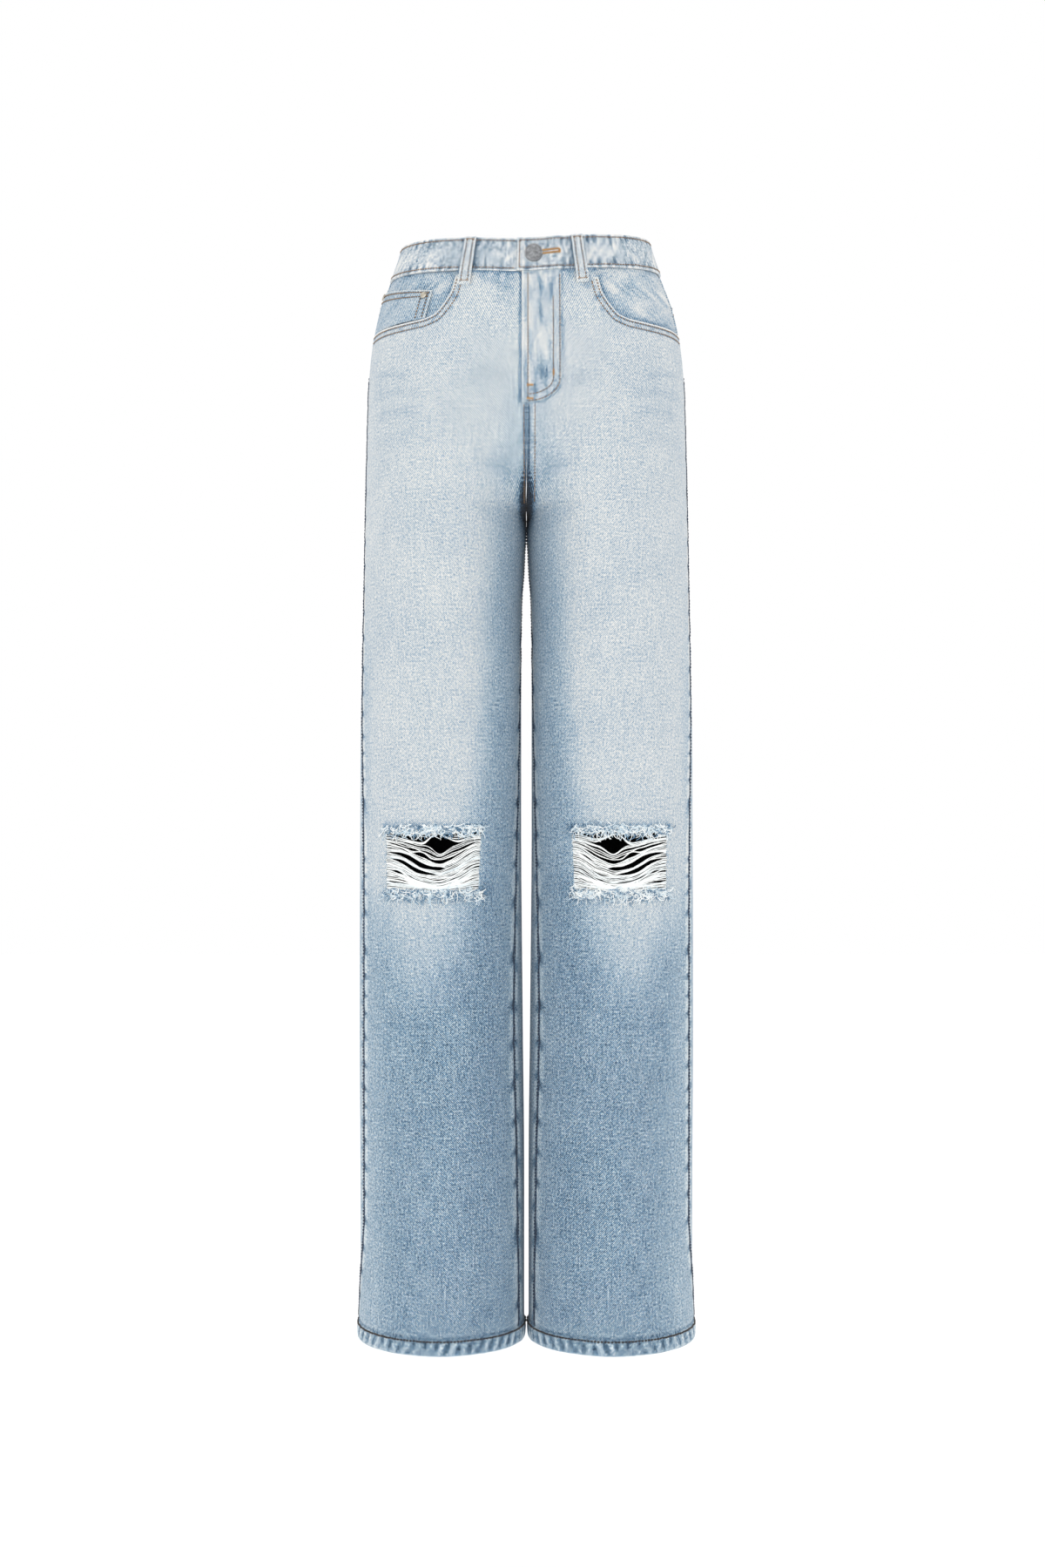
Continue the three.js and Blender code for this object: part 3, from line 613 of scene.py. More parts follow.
def fly_curve():
    """Line of the fly's curved edge, as points (x, z)."""
    turn = np.linspace(0, np.pi / 2, 16)
    curve = np.stack([FLY_WIDTH * np.cos(turn), FLY_KNEE - FLY_DROP * np.sin(turn)], -1)
    return [(FLY_WIDTH, 20), *curve.tolist(), (FLY_EDGE, FLY_KNEE - FLY_DROP)]


def softly(points, z):
    """A wash line evened out up and down, for the side and back."""
    return sum(profile(points, z + step) for step in (-60, -30, 0, 30, 60)) / 5


def leg_wash_and_shade(region, x, z):
    """How far the wash has gone, from 0, blue, to 1, palest, with painted shade at the crotch and
    painted light along the inseam.
    """
    soft = mix(38.0, 54.0, smooth(-420, -560, z))
    pale = smooth(-0.5, 0.5, (x - profile(PALE_INNER, z) - 1.5 * wander(z, 40, 5)) / soft)
    beside = 1.0 if region == "back" else smooth(95, 150, x)
    edge = mix(profile(PALE_OUTER, z), softly(PALE_OUTER, z), beside)
    pale = pale * smooth(-0.5, 0.5, (edge - x) / 46.0)
    pale = pale * mix(profile(PALE_DOWN, z), softly(PALE_DOWN, z), beside)
    pale = pale * (1 - 0.4 * smooth(143, 158, x) * smooth(-300, -400, z))
    if region == "back":
        pale = pale * mix(0.92, 1, smooth(-140, -60, z))
    lower = mix(0.50, 0.505, smooth(10, 66, x)) - 0.03 * smooth(-1000, -700, z)
    lower = lower - 0.07 * mound(x - 42, 16) + 0.18 * smooth(124, 152, x)
    # Lighter towards the inseam: partly the wash, partly painted light that makes up for the shade
    # between the legs
    lower = lower + 0.1 * smooth(20, 8, x)
    inner_thigh = mix(0.76, 0.52, smooth(4, 34, x)) + 0.16 * mound(z + 222, 26)
    blue = mix(inner_thigh, lower, smooth(-380, -720, z))
    blue = blue + 0.34 * smooth(-150, -60, z)
    # painted shade: the wash darkened at the crotch, where the legs meet
    blue = blue - 1.3 * mound(x, 6.5) * mound(z + 220, 20)
    return np.clip(mix(blue, 1.0, pale), 0, 1)


def cloth(side, region, distance, height, out=0.0):
    """Points of the finished cloth with its folds, moved out by a distance, and its normals."""
    distance, height = np.broadcast_arrays(np.asarray(distance, float), np.asarray(height, float))
    point, normal = skin(side, distance, height)
    lift = leg_marks(side, region, distance, height, point)[0]
    return point + normal * (lift + out)[..., None], normal


# ------------------------------------------------------------------ meshes


def new_piece(name, points, faces, slots=(), finishes=(), marks=None, uv=None):
    """Object from points in millimetres, with its materials, attributes and flat layout."""
    mesh = bpy.data.meshes.new(name)
    mesh.from_pydata((np.asarray(points) * MM).tolist(), [], faces)
    for finish in finishes:
        mesh.materials.append(finish)
    if len(slots):
        mesh.polygons.foreach_set("material_index", np.asarray(slots, np.int32))
    for label, values in (marks or {}).items():
        layer = mesh.attributes.new(label, "FLOAT", "POINT")
        layer.data.foreach_set("value", np.asarray(values, np.float32).ravel())
    if uv is not None:
        corners = np.empty(len(mesh.loops), np.int32)
        mesh.loops.foreach_get("vertex_index", corners)
        layer = mesh.uv_layers.new(name="cloth")
        flat = (np.asarray(uv, np.float32) * MM)[corners]
        layer.data.foreach_set("uv", flat.ravel())
    mesh.polygons.foreach_set("use_smooth", np.ones(len(mesh.polygons), bool))
    mesh.set_sharp_from_angle(angle=math.radians(SHARP_ANGLE))
    mesh.validate()
    piece = bpy.data.objects.new(name, mesh)
    bpy.context.collection.objects.link(piece)
    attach(piece, "root")
    return piece


def wall(name, points, normals, thickness, finishes, marks, uv, kept=None):
    """Thin closed shell from a grid of points on the outer face of a piece of cloth."""
    rows, columns = points.shape[:2]
    outer = points.reshape(-1, 3)
    depth = np.broadcast_to(np.asarray(thickness, float), (rows, columns))[..., None]
    inner = (points - normals * depth).reshape(-1, 3)
    under = len(outer)
    number = np.arange(under).reshape(rows, columns)
    a, b, c, d = number[:-1, :-1], number[:-1, 1:], number[1:, 1:], number[1:, :-1]
    kept = np.ones(a.shape, bool) if kept is None else kept
    cells = np.stack([a, b, c, d], -1)
    ring = np.pad(kept, 1)
    edges = [
        (a, b, ring[:-2, 1:-1]), (b, c, ring[1:-1, 2:]),
        (c, d, ring[2:, 1:-1]), (d, a, ring[1:-1, :-2]),
    ]
    rims = [
        np.stack([q, p, p + under, q + under], -1)[kept & ~beyond] for p, q, beyond in edges
    ]
    face = cells[kept]
    corner = outer[face]
    turn = np.cross(corner[:, 1] - corner[:, 0], corner[:, 3] - corner[:, 0])
    facing = (turn * normals.reshape(-1, 3)[face[:, 0]]).sum()
    back = face[:, ::-1] + under
    rim = np.concatenate(rims)
    quads = np.concatenate([face, back, rim])
    if facing < 0:
        quads = quads[:, ::-1]
    slots = np.concatenate([
        np.zeros(len(face), int), np.ones(len(back), int), np.zeros(len(rim), int),
    ])
    used = np.zeros(2 * under, bool)
    used[quads] = True
    renumber = np.cumsum(used) - 1
    both = {
        label: np.tile(np.broadcast_to(values, (rows, columns)).ravel(), 2)[used]
        for label, values in marks.items()
    }
    flat = np.tile(uv.reshape(-1, 2), (2, 1))[used]
    return new_piece(
        name, np.concatenate([outer, inner])[used], renumber[quads].tolist(), slots,
        finishes, both, flat,
    )


def columns_between(count, gather=0.45):
    """Shares from 0 to 1, closer together at both ends."""
    t = np.linspace(0, 1, count + 1)
    return t - gather * np.sin(2 * np.pi * t) / (2 * np.pi)


def flat_place(distance, height):
    """Where a place of cloth lies in its flat cut: distance from the side, and height."""
    return np.stack(np.broadcast_arrays(distance - side_length(height), height), -1)


def tubes(name, lines, radii, sides, finish, marks=None):
    """One mesh of thin round threads: lines is (threads, points, 3) and radii (threads, points)."""
    threads, count = lines.shape[:2]
    way = np.gradient(lines, axis=1)
    way /= np.linalg.norm(way, axis=2, keepdims=True) + 1e-9
    upright = np.where(np.abs(way[..., 1:2]) < 0.9, [[[0.0, 1.0, 0.0]]], [[[0.0, 0.0, 1.0]]])
    across = np.cross(way, upright)
    across /= np.linalg.norm(across, axis=2, keepdims=True)
    third = np.cross(way, across)
    turn = np.arange(sides) * 2 * np.pi / sides
    circle = across[:, :, None] * np.cos(turn)[:, None] + third[:, :, None] * np.sin(turn)[:, None]
    points = lines[:, :, None] + circle * radii[:, :, None, None]
    first = (np.arange(threads) * count * sides)[:, None, None]
    row = (np.arange(count - 1) * sides)[None, :, None]
    a = first + row + np.arange(sides)
    b = first + row + (np.arange(sides) + 1) % sides
    quads = np.stack([a, b, b + sides, a + sides], -1).reshape(-1, 4)
    starts = (first[:, 0] + np.arange(sides)[::-1]).tolist()
    ends = (first[:, 0] + (count - 1) * sides + np.arange(sides)).tolist()
    spread = {
        label: np.repeat(np.asarray(values).ravel(), count * sides)
        for label, values in (marks or {}).items()
    }
    return new_piece(
        name, points.reshape(-1, 3), quads.tolist() + starts + ends, (), [finish], spread,
    )


class Stitches:
    """Rows of stitches gathered into one mesh, each stitch a small bar dipping at its ends."""

    RINGS = np.array([[-0.5, -1.2, 0.55], [-0.3, 0.1, 1.0], [0.3, 0.1, 1.0], [0.5, -1.2, 0.55]])
    SIDES = 5

    def __init__(self):
        self.points = []

    def bars(self, centre, way, normal, length, radius):
        """Adds a bar at each centre, lying along its way on the cloth."""
        way = way - normal * (way * normal).sum(-1, keepdims=True)
        way = way / np.linalg.norm(way, axis=-1, keepdims=True)
        across = np.cross(way, normal)
        turn = np.arange(self.SIDES) * 2 * np.pi / self.SIDES
        along, dip, girth = self.RINGS.T
        line = way[:, None] * (along * length)[None, :, None]
        line = line + normal[:, None] * (dip * radius)[None, :, None]
        circle = across[:, None] * np.cos(turn)[None, :, None]
        circle = circle + normal[:, None] * np.sin(turn)[None, :, None]
        ring = circle[:, None] * (girth * radius)[None, :, None, None]
        self.points.append((centre[:, None, None] + line[:, :, None] + ring).reshape(-1, 3))

    def row(self, points, normals, pitch=3.1, share=0.72, radius=0.52):
        """Adds stitches along a line of points on the cloth."""
        steps = np.linalg.norm(np.diff(points, axis=0), axis=1)
        lengths = np.concatenate([[0], np.cumsum(steps)])
        count = max(1, int(lengths[-1] / pitch))
        at = (np.arange(count) + 0.5) * lengths[-1] / count
        half = pitch * share / 2

        def place(values, where):
            return np.stack([np.interp(where, lengths, values[:, i]) for i in range(3)], -1)

        way = place(points, at + half) - place(points, at - half)
        normal = place(normals, at)
        normal /= np.linalg.norm(normal, axis=1, keepdims=True)
        self.bars(place(points, at), way, normal, pitch * share, radius)

    def piece(self, name, finish):
        points = np.concatenate(self.points)
        rings = len(self.RINGS)
        size = rings * self.SIDES
        first = (np.arange(len(points) // size) * size)[:, None, None]
        row = (np.arange(rings - 1) * self.SIDES)[None, :, None]
        a = first + row + np.arange(self.SIDES)
        b = first + row + (np.arange(self.SIDES) + 1) % self.SIDES
        quads = np.stack([a, a + self.SIDES, b + self.SIDES, b], -1).reshape(-1, 4)
        starts = (first[:, 0] + np.arange(self.SIDES)).tolist()
        ends = (first[:, 0] + size - self.SIDES + np.arange(self.SIDES)[::-1]).tolist()
        return new_piece(name, points, quads.tolist() + starts + ends, (), [finish])


# ------------------------------------------------------------------ finishes


class Field:
    """A value that varies over a surface, so that shader maths reads as an expression."""

    def __init__(self, finish, socket):
        self.finish = finish
        self.socket = socket

    def maths(self, operation, *values):
        inputs = dict(enumerate([self, *values]))
        return self.finish.node("ShaderNodeMath", {"operation": operation}, inputs)

    def __add__(self, other):
        return self.maths("ADD", other)

    def __mul__(self, other):
        return self.maths("MULTIPLY", other)

    def __sub__(self, other):
        return self.maths("SUBTRACT", other)

    def __rsub__(self, other):
        return self.finish.node(
            "ShaderNodeMath", {"operation": "SUBTRACT"}, {0: other, 1: self},
        )

    __radd__ = __add__
    __rmul__ = __mul__

    def sine(self):
        return self.maths("SINE")

    def held(self):
        """The value held between 0 and 1."""
        return self.finish.node("ShaderNodeClamp", {}, {"Value": self})


class Finish:
    """A material whose look is worked out by nodes."""

    def __init__(self, name, roughness, metallic=0.0, **constants):
        self.material = bpy.data.materials.new(name)
        self.material.use_nodes = True
        self.tree = self.material.node_tree
        self.shader = self.tree.nodes["Principled BSDF"]
        self.shader.inputs["Roughness"].default_value = roughness
        self.shader.inputs["Metallic"].default_value = metallic
        for socket, value in constants.items():
            self.shader.inputs[socket.replace("_", " ")].default_value = value

    def node(self, kind, settings, inputs, output=0):
        """Any node: its type, its settings, then the values or links of its sockets."""
        node = self.tree.nodes.new(kind)
        for key, value in settings.items():
            if key == "stops":
                ramp = node.color_ramp
                for _ in value[2:]:
                    ramp.elements.new(0.5)
                for element, (place, colour) in zip(ramp.elements, value):
                    element.position = place
                    element.color = (*colour, 1)
            else:
                setattr(node, key, value)
        for key, value in inputs.items():
            if isinstance(value, Field):
                self.tree.links.new(value.socket, node.inputs[key])
            else:
                node.inputs[key].default_value = value
        return Field(self, node.outputs[output])

    def attribute(self, label):
        settings = {"attribute_name": label, "attribute_type": "GEOMETRY"}
        return self.node("ShaderNodeAttribute", settings, {}, output=2)

    def place(self):
        """Object coordinates, in metres."""
        return self.node("ShaderNodeTexCoord", {}, {}, output=3)

    def flat(self):
        """Distance across and height on the flat cut, in metres."""
        uv = self.node("ShaderNodeUVMap", {"uv_map": "cloth"}, {})
        parts = [self.node("ShaderNodeSeparateXYZ", {}, {0: uv}, output=i) for i in (0, 1)]
        return parts

    def vector(self, x, y, z=0.0):
        return self.node("ShaderNodeCombineXYZ", {}, {0: x, 1: y, 2: z})

    def noise(self, vector, scale, detail=2.0, rough=0.5):
        inputs = {"Vector": vector, "Scale": scale, "Detail": detail, "Roughness": rough}
        return self.node("ShaderNodeTexNoise", {}, inputs)

    def ramp(self, value, stops):
        return self.node("ShaderNodeValToRGB", {"stops": stops}, {0: value})

    def blend(self, share, first, second, kind="MIX"):
        settings = {"data_type": "RGBA", "blend_type": kind}
        return self.node("ShaderNodeMix", settings, {0: share, 6: first, 7: second}, output=2)

    def dress(self, colour=None, roughness=None, height=None, depth=0.0004, strength=0.6):
        """Links what varies over the surface to the shader."""
        if colour is not None:
            self.tree.links.new(colour.socket, self.shader.inputs["Base Color"])
        if roughness is not None:
            self.tree.links.new(roughness.socket, self.shader.inputs["Roughness"])
        if height is not None:
            inputs = {"Height": height, "Distance": depth, "Strength": strength}
            bump = self.node("ShaderNodeBump", {}, inputs)
            self.tree.links.new(bump.socket, self.shader.inputs["Normal"])
        return self.material


def linear(colour):
    """Scene-linear colour of one given in everyday 0 to 255 steps."""
    steps = np.asarray(colour, float) / 255
    return tuple(np.where(steps <= 0.04045, steps / 12.92, ((steps + 0.055) / 1.055) ** 2.4))


def opaque(colour):
    return (*linear(colour), 1)


# From unwashed blue to the palest wash, running on below 0 to near black for painted shade
WASH = [
    (-0.30, (20, 30, 44)),
    (0.00, (44, 68, 92)),
    (0.16, (72, 102, 130)),
    (0.34, (98, 133, 162)),
    (0.52, (121, 156, 186)),
    (0.70, (150, 180, 206)),
    (0.86, (184, 199, 210)),
    (1.00, (202, 208, 209)),
    (1.20, (228, 233, 233)),
    (1.40, (247, 249, 248)),
]


def denim(name, twill, contrast=1.0, cool=0.0):
    """Washed denim: twill, slubs and flecks over the wash, blue creases darkened further by painted
    shade, and worn ridges.
    """
    finish = Finish(name, 0.92, Sheen_Weight=0.12, Sheen_Roughness=0.6, IOR=1.35)
    across, up = finish.flat()
    fade = finish.attribute("fade")
    crease = finish.attribute("crease")
    worn = finish.attribute("worn")
    slub = finish.noise(finish.vector(across * 480, up * 40), 1.0, 3.0, 0.6)
    weft = finish.noise(finish.vector(across * 60, up * 520), 1.0, 2.0)
    fleck = finish.noise(finish.vector(across * 620, up * 480), 1.0, 3.0, 0.75)
    cloud = finish.noise(finish.place(), 22.0, 4.0, 0.55)
    turn = 2 * math.pi / (twill.pitch * MM)
    wobble = finish.noise(finish.vector(across * 140, up * 140), 1.0, 1.0) * 2.2
    lines = ((across - up * twill.slope) * turn + wobble).sine()
    depth = 1.18 - fade * 0.58
    weave = lines * (0.75 * contrast) + (fleck - 0.5) * (6.0 * contrast)
    weave = weave + (slub - 0.5) * 1.3 + (weft - 0.5) * 0.8
    # The crease mark darkens the wash: blue of real creases, and painted shade down to near black
    # at its deepest
    wash = fade * 0.97 + weave * depth * 0.62 + (cloud - 0.5) * 0.22 - crease * 0.6
    wash = wash + worn * 0.42 - cool
    stops = [((place + 0.3) / 1.7, linear(colour)) for place, colour in WASH]
    colour = finish.ramp((wash + 0.3) * (1 / 1.7), stops)
    tint = [(0.0, (0.98, 1.02, 1.0)), (0.5, (0.97, 1.0, 0.99)), (1.0, (0.97, 0.94, 0.92))]
    colour = finish.blend(1.0, colour, finish.ramp(fade, tint), "MULTIPLY")
    rough = 0.9 + (fleck - 0.5) * 0.1
    height = lines * 0.5 + fleck * 1.6 + slub * 0.7
    return finish.dress(colour, rough, height, depth=0.00022, strength=0.75)


def denim_reverse(name):
    """Inside of the cloth, mostly undyed weft, with painted shade going to near black inside the
    legs.
    """
    finish = Finish(name, 0.95)
    across, up = finish.flat()
    shade = finish.attribute("shade")
    fleck = finish.noise(finish.vector(across * 900, up * 700), 1.0, 2.0)
    slub = finish.noise(finish.vector(across * 420, up * 40), 1.0, 2.0)
    tone = (fleck - 0.5) * 1.1 + (slub - 0.5) * 0.5 + 0.55
    colour = finish.ramp(tone, [(0.0, linear((150, 166, 182))), (1.0, linear((214, 220, 224)))])
    # painted shade: near black mixed in by the shade mark
    colour = finish.blend(shade, colour, opaque((16, 18, 23)))
    return finish.dress(colour, height=fleck + slub)


def thread(name, light, dark, roughness=0.75):
    """Twisted sewing thread, lighter and darker along its length."""
    finish = Finish(name, roughness, Sheen_Weight=0.2)
    grain = finish.noise(finish.place(), 900.0, 2.0)
    patch = finish.noise(finish.place(), 70.0, 2.0)
    tone = ((grain - 0.5) * 0.9 + (patch - 0.5) * 1.3 + 0.5).held()
    colour = finish.ramp(tone, [(0.0, linear(dark)), (1.0, linear(light))])
    return finish.dress(colour, height=grain)


def yarn(name):
    """Loose yarns of the rips, from undyed white to faded blue by their own mark, glowing faintly
    in their own colour as painted light.
    """
    finish = Finish(name, 0.95, Sheen_Weight=0.2, Emission_Strength=0.09)
    dye = finish.attribute("dye")
    grain = finish.noise(finish.place(), 1100.0, 2.0)
    tone = (dye + (grain - 0.5) * 0.25).held()
    stops = [
        (0.0, linear((250, 251, 249))), (0.35, linear((222, 233, 238))),
        (0.7, linear((146, 180, 202))), (1.0, linear((70, 106, 138))),
    ]
    colour = finish.ramp(tone, stops)
    # painted light: the yarns glow faintly in their own colour
    finish.tree.links.new(colour.socket, finish.shader.inputs["Emission Color"])
    return finish.dress(colour, height=grain, depth=0.0002)


def metal(name, light, dark, roughness):
    """Tumbled metal with duller, darker hollows."""
    finish = Finish(name, roughness, metallic=1.0)
    wear = finish.noise(finish.place(), 420.0, 3.0)
    broad = finish.noise(finish.place(), 130.0, 2.0)
    tone = ((wear - 0.5) * 1.2 + (broad - 0.5) * 0.8 + 0.55).held()
    colour = finish.ramp(tone, [(0.0, linear(dark)), (1.0, linear(light))])
    return finish.dress(colour, roughness + (0.5 - wear) * 0.25, wear, depth=0.00008)


def tape_cotton(name):
    """Woven zip tape with a fine herringbone rib."""
    finish = Finish(name, 0.9)
    across, up = finish.flat()
    rib = (across * 2600 + up * 1400).sine()
    grain = finish.noise(finish.vector(across * 900, up * 900), 1.0, 2.0)
    tone = (rib * 0.25 + grain).held()
    colour = finish.ramp(tone, [(0.0, linear((104, 112, 124))), (1.0, linear((160, 166, 174)))])
    return finish.dress(colour, height=rib)


def floor_paint(name):
    finish = Finish(name, 0.9, Emission_Color=(1, 1, 1, 1), Emission_Strength=0.12)
    cloud = finish.noise(finish.place(), 2.0, 3.0)
    colour = finish.ramp(cloud, [(0.0, linear((250, 250, 250))), (1.0, linear((255, 255, 255)))])
    return finish.dress(colour)


def finish_named(name):
    """A finish made once and shared by the pieces that take it."""
    made = bpy.data.materials.get(name)
    if made is not None:
        return made
    scene = bpy.context.scene
    makers = {
        "denim face": lambda: denim(name, scene.jeans_cloth),
        "denim band": lambda: denim(name, scene.jeans_cloth, contrast=1.45),
        "denim pocket": lambda: denim(name, scene.jeans_cloth, cool=0.05),
        "denim reverse": lambda: denim_reverse(name),
        "brown thread": lambda: thread(name, (170, 136, 100), (96, 74, 54)),
        "orange thread": lambda: thread(name, (216, 172, 110), (172, 126, 76)),
        "navy thread": lambda: thread(name, (58, 76, 100), (26, 38, 58)),
        "hem thread": lambda: thread(name, (62, 52, 46), (28, 25, 26)),
        "loose yarn": lambda: yarn(name),
        "aged nickel": lambda: metal(name, (182, 184, 186), (72, 74, 78), 0.4),
        "rivet metal": lambda: metal(name, (222, 216, 202), (142, 132, 116), 0.4),
        "zip metal": lambda: metal(name, (190, 184, 170), (112, 104, 92), 0.35),
        "zip tape": lambda: tape_cotton(name),
        "floor paint": lambda: floor_paint(name),
    }
    return makers[name]()


CLOTH_FINISHES = {
    "denim": ("denim face", "denim reverse"),
    "band_denim": ("denim band", "denim reverse"),
    "pocket_denim": ("denim pocket", "denim reverse"),
    "loop_denim": ("denim band", "denim reverse"),
    "zip_tape": ("zip tape", "zip tape"),
}


def sewn(piece, nodes):
    """Hides the CAD parts that a piece of cloth stands for."""
    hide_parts(*nodes)
    return piece


def cloth_finishes(slot):
    return [finish_named(name) for name in CLOTH_FINISHES[slot]]


def inside_shade(height):
    """How much painted shade darkens the inside of the garment at a height: less at the waist and
    the hems, where it is open.
    """
    return mix(0.25, 1.0, smooth(-60, -260, height)) * mix(1.0, 0.35, smooth(-700, -1000, height))


# ------------------------------------------------------------------ pieces of cloth


def leg_rows(top, blend, stations):
    """Heights of a leg panel's rows: eased from its top edge, then level down to the hem."""
    down = np.linspace(0, 1, 27)[:-1, None] ** 1.15
    upper = mix(top[None], blend, down)
    levels = np.arange(blend, HEM + HEM_HEIGHT + 2, -2.8)
    for station in stations:
        levels[np.abs(levels - station).argmin()] = station
    hem_levels = np.linspace(HEM + HEM_HEIGHT + 1, HEM, 11)
    lower = np.concatenate([levels, hem_levels])[:, None] + np.zeros_like(top)
    return np.concatenate([upper, lower])


def leg_piece(name, side, region, across, heights, kept=None):
    distance = distance_at(region, across, heights)
    point, normal = skin(side, distance, heights)
    lift, fade, crease, worn = leg_marks(side, region, distance, heights, point)
    thick = mix(PANEL_WALL, HEM_WALL, smooth(HEM + HEM_HEIGHT + 1, HEM + HEM_HEIGHT - 1, heights))
    marks = {"fade": fade, "crease": crease, "worn": worn, "shade": inside_shade(heights)}
    points = point + normal * lift[..., None]
    uv = flat_place(distance, heights)
    return wall(name, points, normal, thick, cloth_finishes("denim"), marks, uv, kept)


def front_columns():
    """Shares across a front panel, closer at its seams, the pocket's corner and the rip."""
    corner = float(across_of_x("front", POCKET_MOUTH[0][0], BAND_FRONT_BOTTOM))
    near = np.linspace(corner, corner + 0.075, 12)
    rip = [float(across_of_x("front", RIP_X + s * RIP_HALF_WIDTH, RIP_Z)) for s in (-1, 1)]
    fixed = np.concatenate([near, rip, [0, 1]])
    loose = [c for c in columns_between(58) if np.abs(fixed - c).min() > 0.006]
    return np.sort(np.concatenate([fixed, loose])), rip


def front_panel(side):
    across, rip = front_columns()
    top = front_top(side, across)
    edges = (RIP_Z + RIP_HALF_HEIGHT, RIP_Z - RIP_HALF_HEIGHT)
    heights = leg_rows(top, FRONT_BLEND, edges)
    middle = (across[1:] + across[:-1]) / 2
    level = (heights[1:, -1] + heights[:-1, -1]) / 2
    inside = (middle > rip[0]) & (middle < rip[1])
    kept = ~(inside[None] & (level < edges[0])[:, None] & (level > edges[1])[:, None])
    place = across * FRONT_WIDTH
    for edge in edges:
        row = np.abs(heights[:, -1] - edge).argmin()
        ragged = 1.1 * wander(place, 5, 21) + 0.7 * wander(place, 1.8, 22)
        near = smooth(rip[0] - 0.03, rip[0] + 0.02, across) * smooth(
            rip[1] + 0.03, rip[1] - 0.02, across)
        heights[row] += ragged * near
    return leg_piece(f"front_{HANDS[side]}_cloth", side, "front", across[None], heights, kept)


def back_panel(side):
    across = columns_between(82, 0.4)
    heights = leg_rows(yoke_seam(across) - SEAM_GAP, BACK_BLEND, ())
    return leg_piece(f"back_{HANDS[side]}_cloth", side, "back", across[None], heights)


def patch(name, side, region, across, heights, out, thickness, slot, marks, follow=True):
    """Piece that lies over a region, following the folds of the cloth below it."""
    distance = distance_at(region, across, heights)
    point, normal = skin(side, distance, heights)
    lift, fade, crease, worn = leg_marks(side, region, distance, heights, point)
    wash = {"fade": fade, "crease": crease, "worn": worn, "shade": inside_shade(heights)}
    wash.update(marks)
    points = point + normal * ((lift if follow else 0) + out)[..., None]
    uv = flat_place(distance, heights)
    return wall(name, points, normal, thickness, cloth_finishes(slot), wash, uv)


def yoke(side):
    across = columns_between(70, 0.35)
    top = band_edge_over(side, "back", across) - SEAM_GAP
    heights = mix(top, yoke_seam(across) + SEAM_GAP, np.linspace(0, 1, 30)[:, None])
    return leg_piece(f"yoke_{HANDS[side]}_cloth", side, "back", across[None], heights)


def pocket_backing(side):
    """Hip piece that shows above the pocket mouth, with painted shadow along the mouth and under
    the waistband.
    """
    across = np.linspace(POCKET_BACKING_START + 0.02, 1, 58)[None]
    top = band_edge_over(side, "front", across) - SEAM_GAP
    heights = mix(top, POCKET_BACKING_BOTTOM, np.linspace(0, 1, 44)[:, None])
    across = across + np.zeros_like(heights)
    x = ring_point(distance_at("front", across, heights), heights)[..., 0]
    under = along_line(POCKET_MOUTH, x, heights)[0]
    outer = region_span("front", heights)[1] - distance_at("front", across, heights)
    # painted shadow: a blue band along the pocket mouth, deeper on the left piece, and a dark line
    # under the waistband
    shadow = mix(0.3, 0.75, float(side > 0)) * mound(under - 1.5, 3.4)
    band = 0.35 * mound(heights - top, 2.0)
    crease = np.maximum(shadow, band) + 0.2 * mound(outer, 2)
    ridge = 0.5 * mound(outer - 3, 1.6) * (1 - shadow)
    fade = (0.98 if side > 0 else 0.84) + 0.09 * wander(x, 9, 31) - 0.1 * mound(under, 10)
    fade = fade + 0.34 * wander(x + 1.4 * heights, 5, 36) * wander(heights, 7, 37)
    fade = fade + 0.1 * wander(x - heights, 3.2, 38)
    marks = {"fade": fade, "crease": crease, "worn": ridge * 0.8}
    out = -PANEL_WALL - LAYER_GAP + 0.25 * wander(x + heights, 14, 33)
    name = f"pocket_backing_{HANDS[side]}_cloth"
    return patch(name, side, "front", across, heights, out, PATCH_WALL, "pocket_denim", marks,
                 follow=False)


def coin_line(down):
    """Inner edge of the coin pocket at a share down it: the share across the front."""
    ends = [float(across_of_x("front", *corner)) for corner in (COIN_TOP, COIN_BOTTOM)]
    return mix(ends[0], ends[1], down)


def coin_place(share, down):
    """Share across the front and height of a place of the coin pocket."""
    inner = coin_line(down)
    across = mix(inner, 1, share)
    top = mix(COIN_TOP[1], COIN_OUTER_TOP, share)
    return across, mix(top, COIN_BOTTOM[1], down)


def coin_pocket():
    share, down = np.meshgrid(columns_between(40, 0.3), columns_between(32, 0.3))
    across, heights = coin_place(share, down)
    inner = share * COIN_ACROSS
    top = down * COIN_DOWN
    hem = mound(top - 2.2, 0.8) + mound(top - 6.6, 0.8) * smooth(2, 3, inner)
    side_rows = mound(inner - 2.2, 0.8) + 0.7 * mound(inner - 6.4, 0.8)
    rows = np.clip(hem + side_rows, 0, 1)
    edge = np.clip(smooth(1.5, 0.4, inner) + smooth(1.4, 0.3, top), 0, 1)
    lift = 0.3 * edge - 0.28 * rows + 0.18 * wander(inner + 2 * top, 7, 51)
    fade = 0.83 + 0.08 * wander(inner - top, 8, 52)
    crease = 0.34 * rows * (1 - edge)
    marks = {"fade": fade, "crease": crease, "worn": 0.75 * edge}
    return patch("coin_pocket_cloth", COIN_SIDE, "front", across, heights, COIN_OUT + lift,
                 PATCH_WALL, "pocket_denim", marks, follow=False)


def back_pocket_place(share, down):
    """Share across the back and height of a place of a back pocket."""
    outer, inner = BACK_POCKET_SHARES
    taper = BACK_POCKET_TAPER * down
    across = mix(outer + taper, inner - taper, share)
    height = BACK_POCKET_HEIGHT + BACK_POCKET_POINT * (1 - np.abs(2 * share - 1))
    return across, yoke_seam(across) - BACK_POCKET_BELOW - height * down


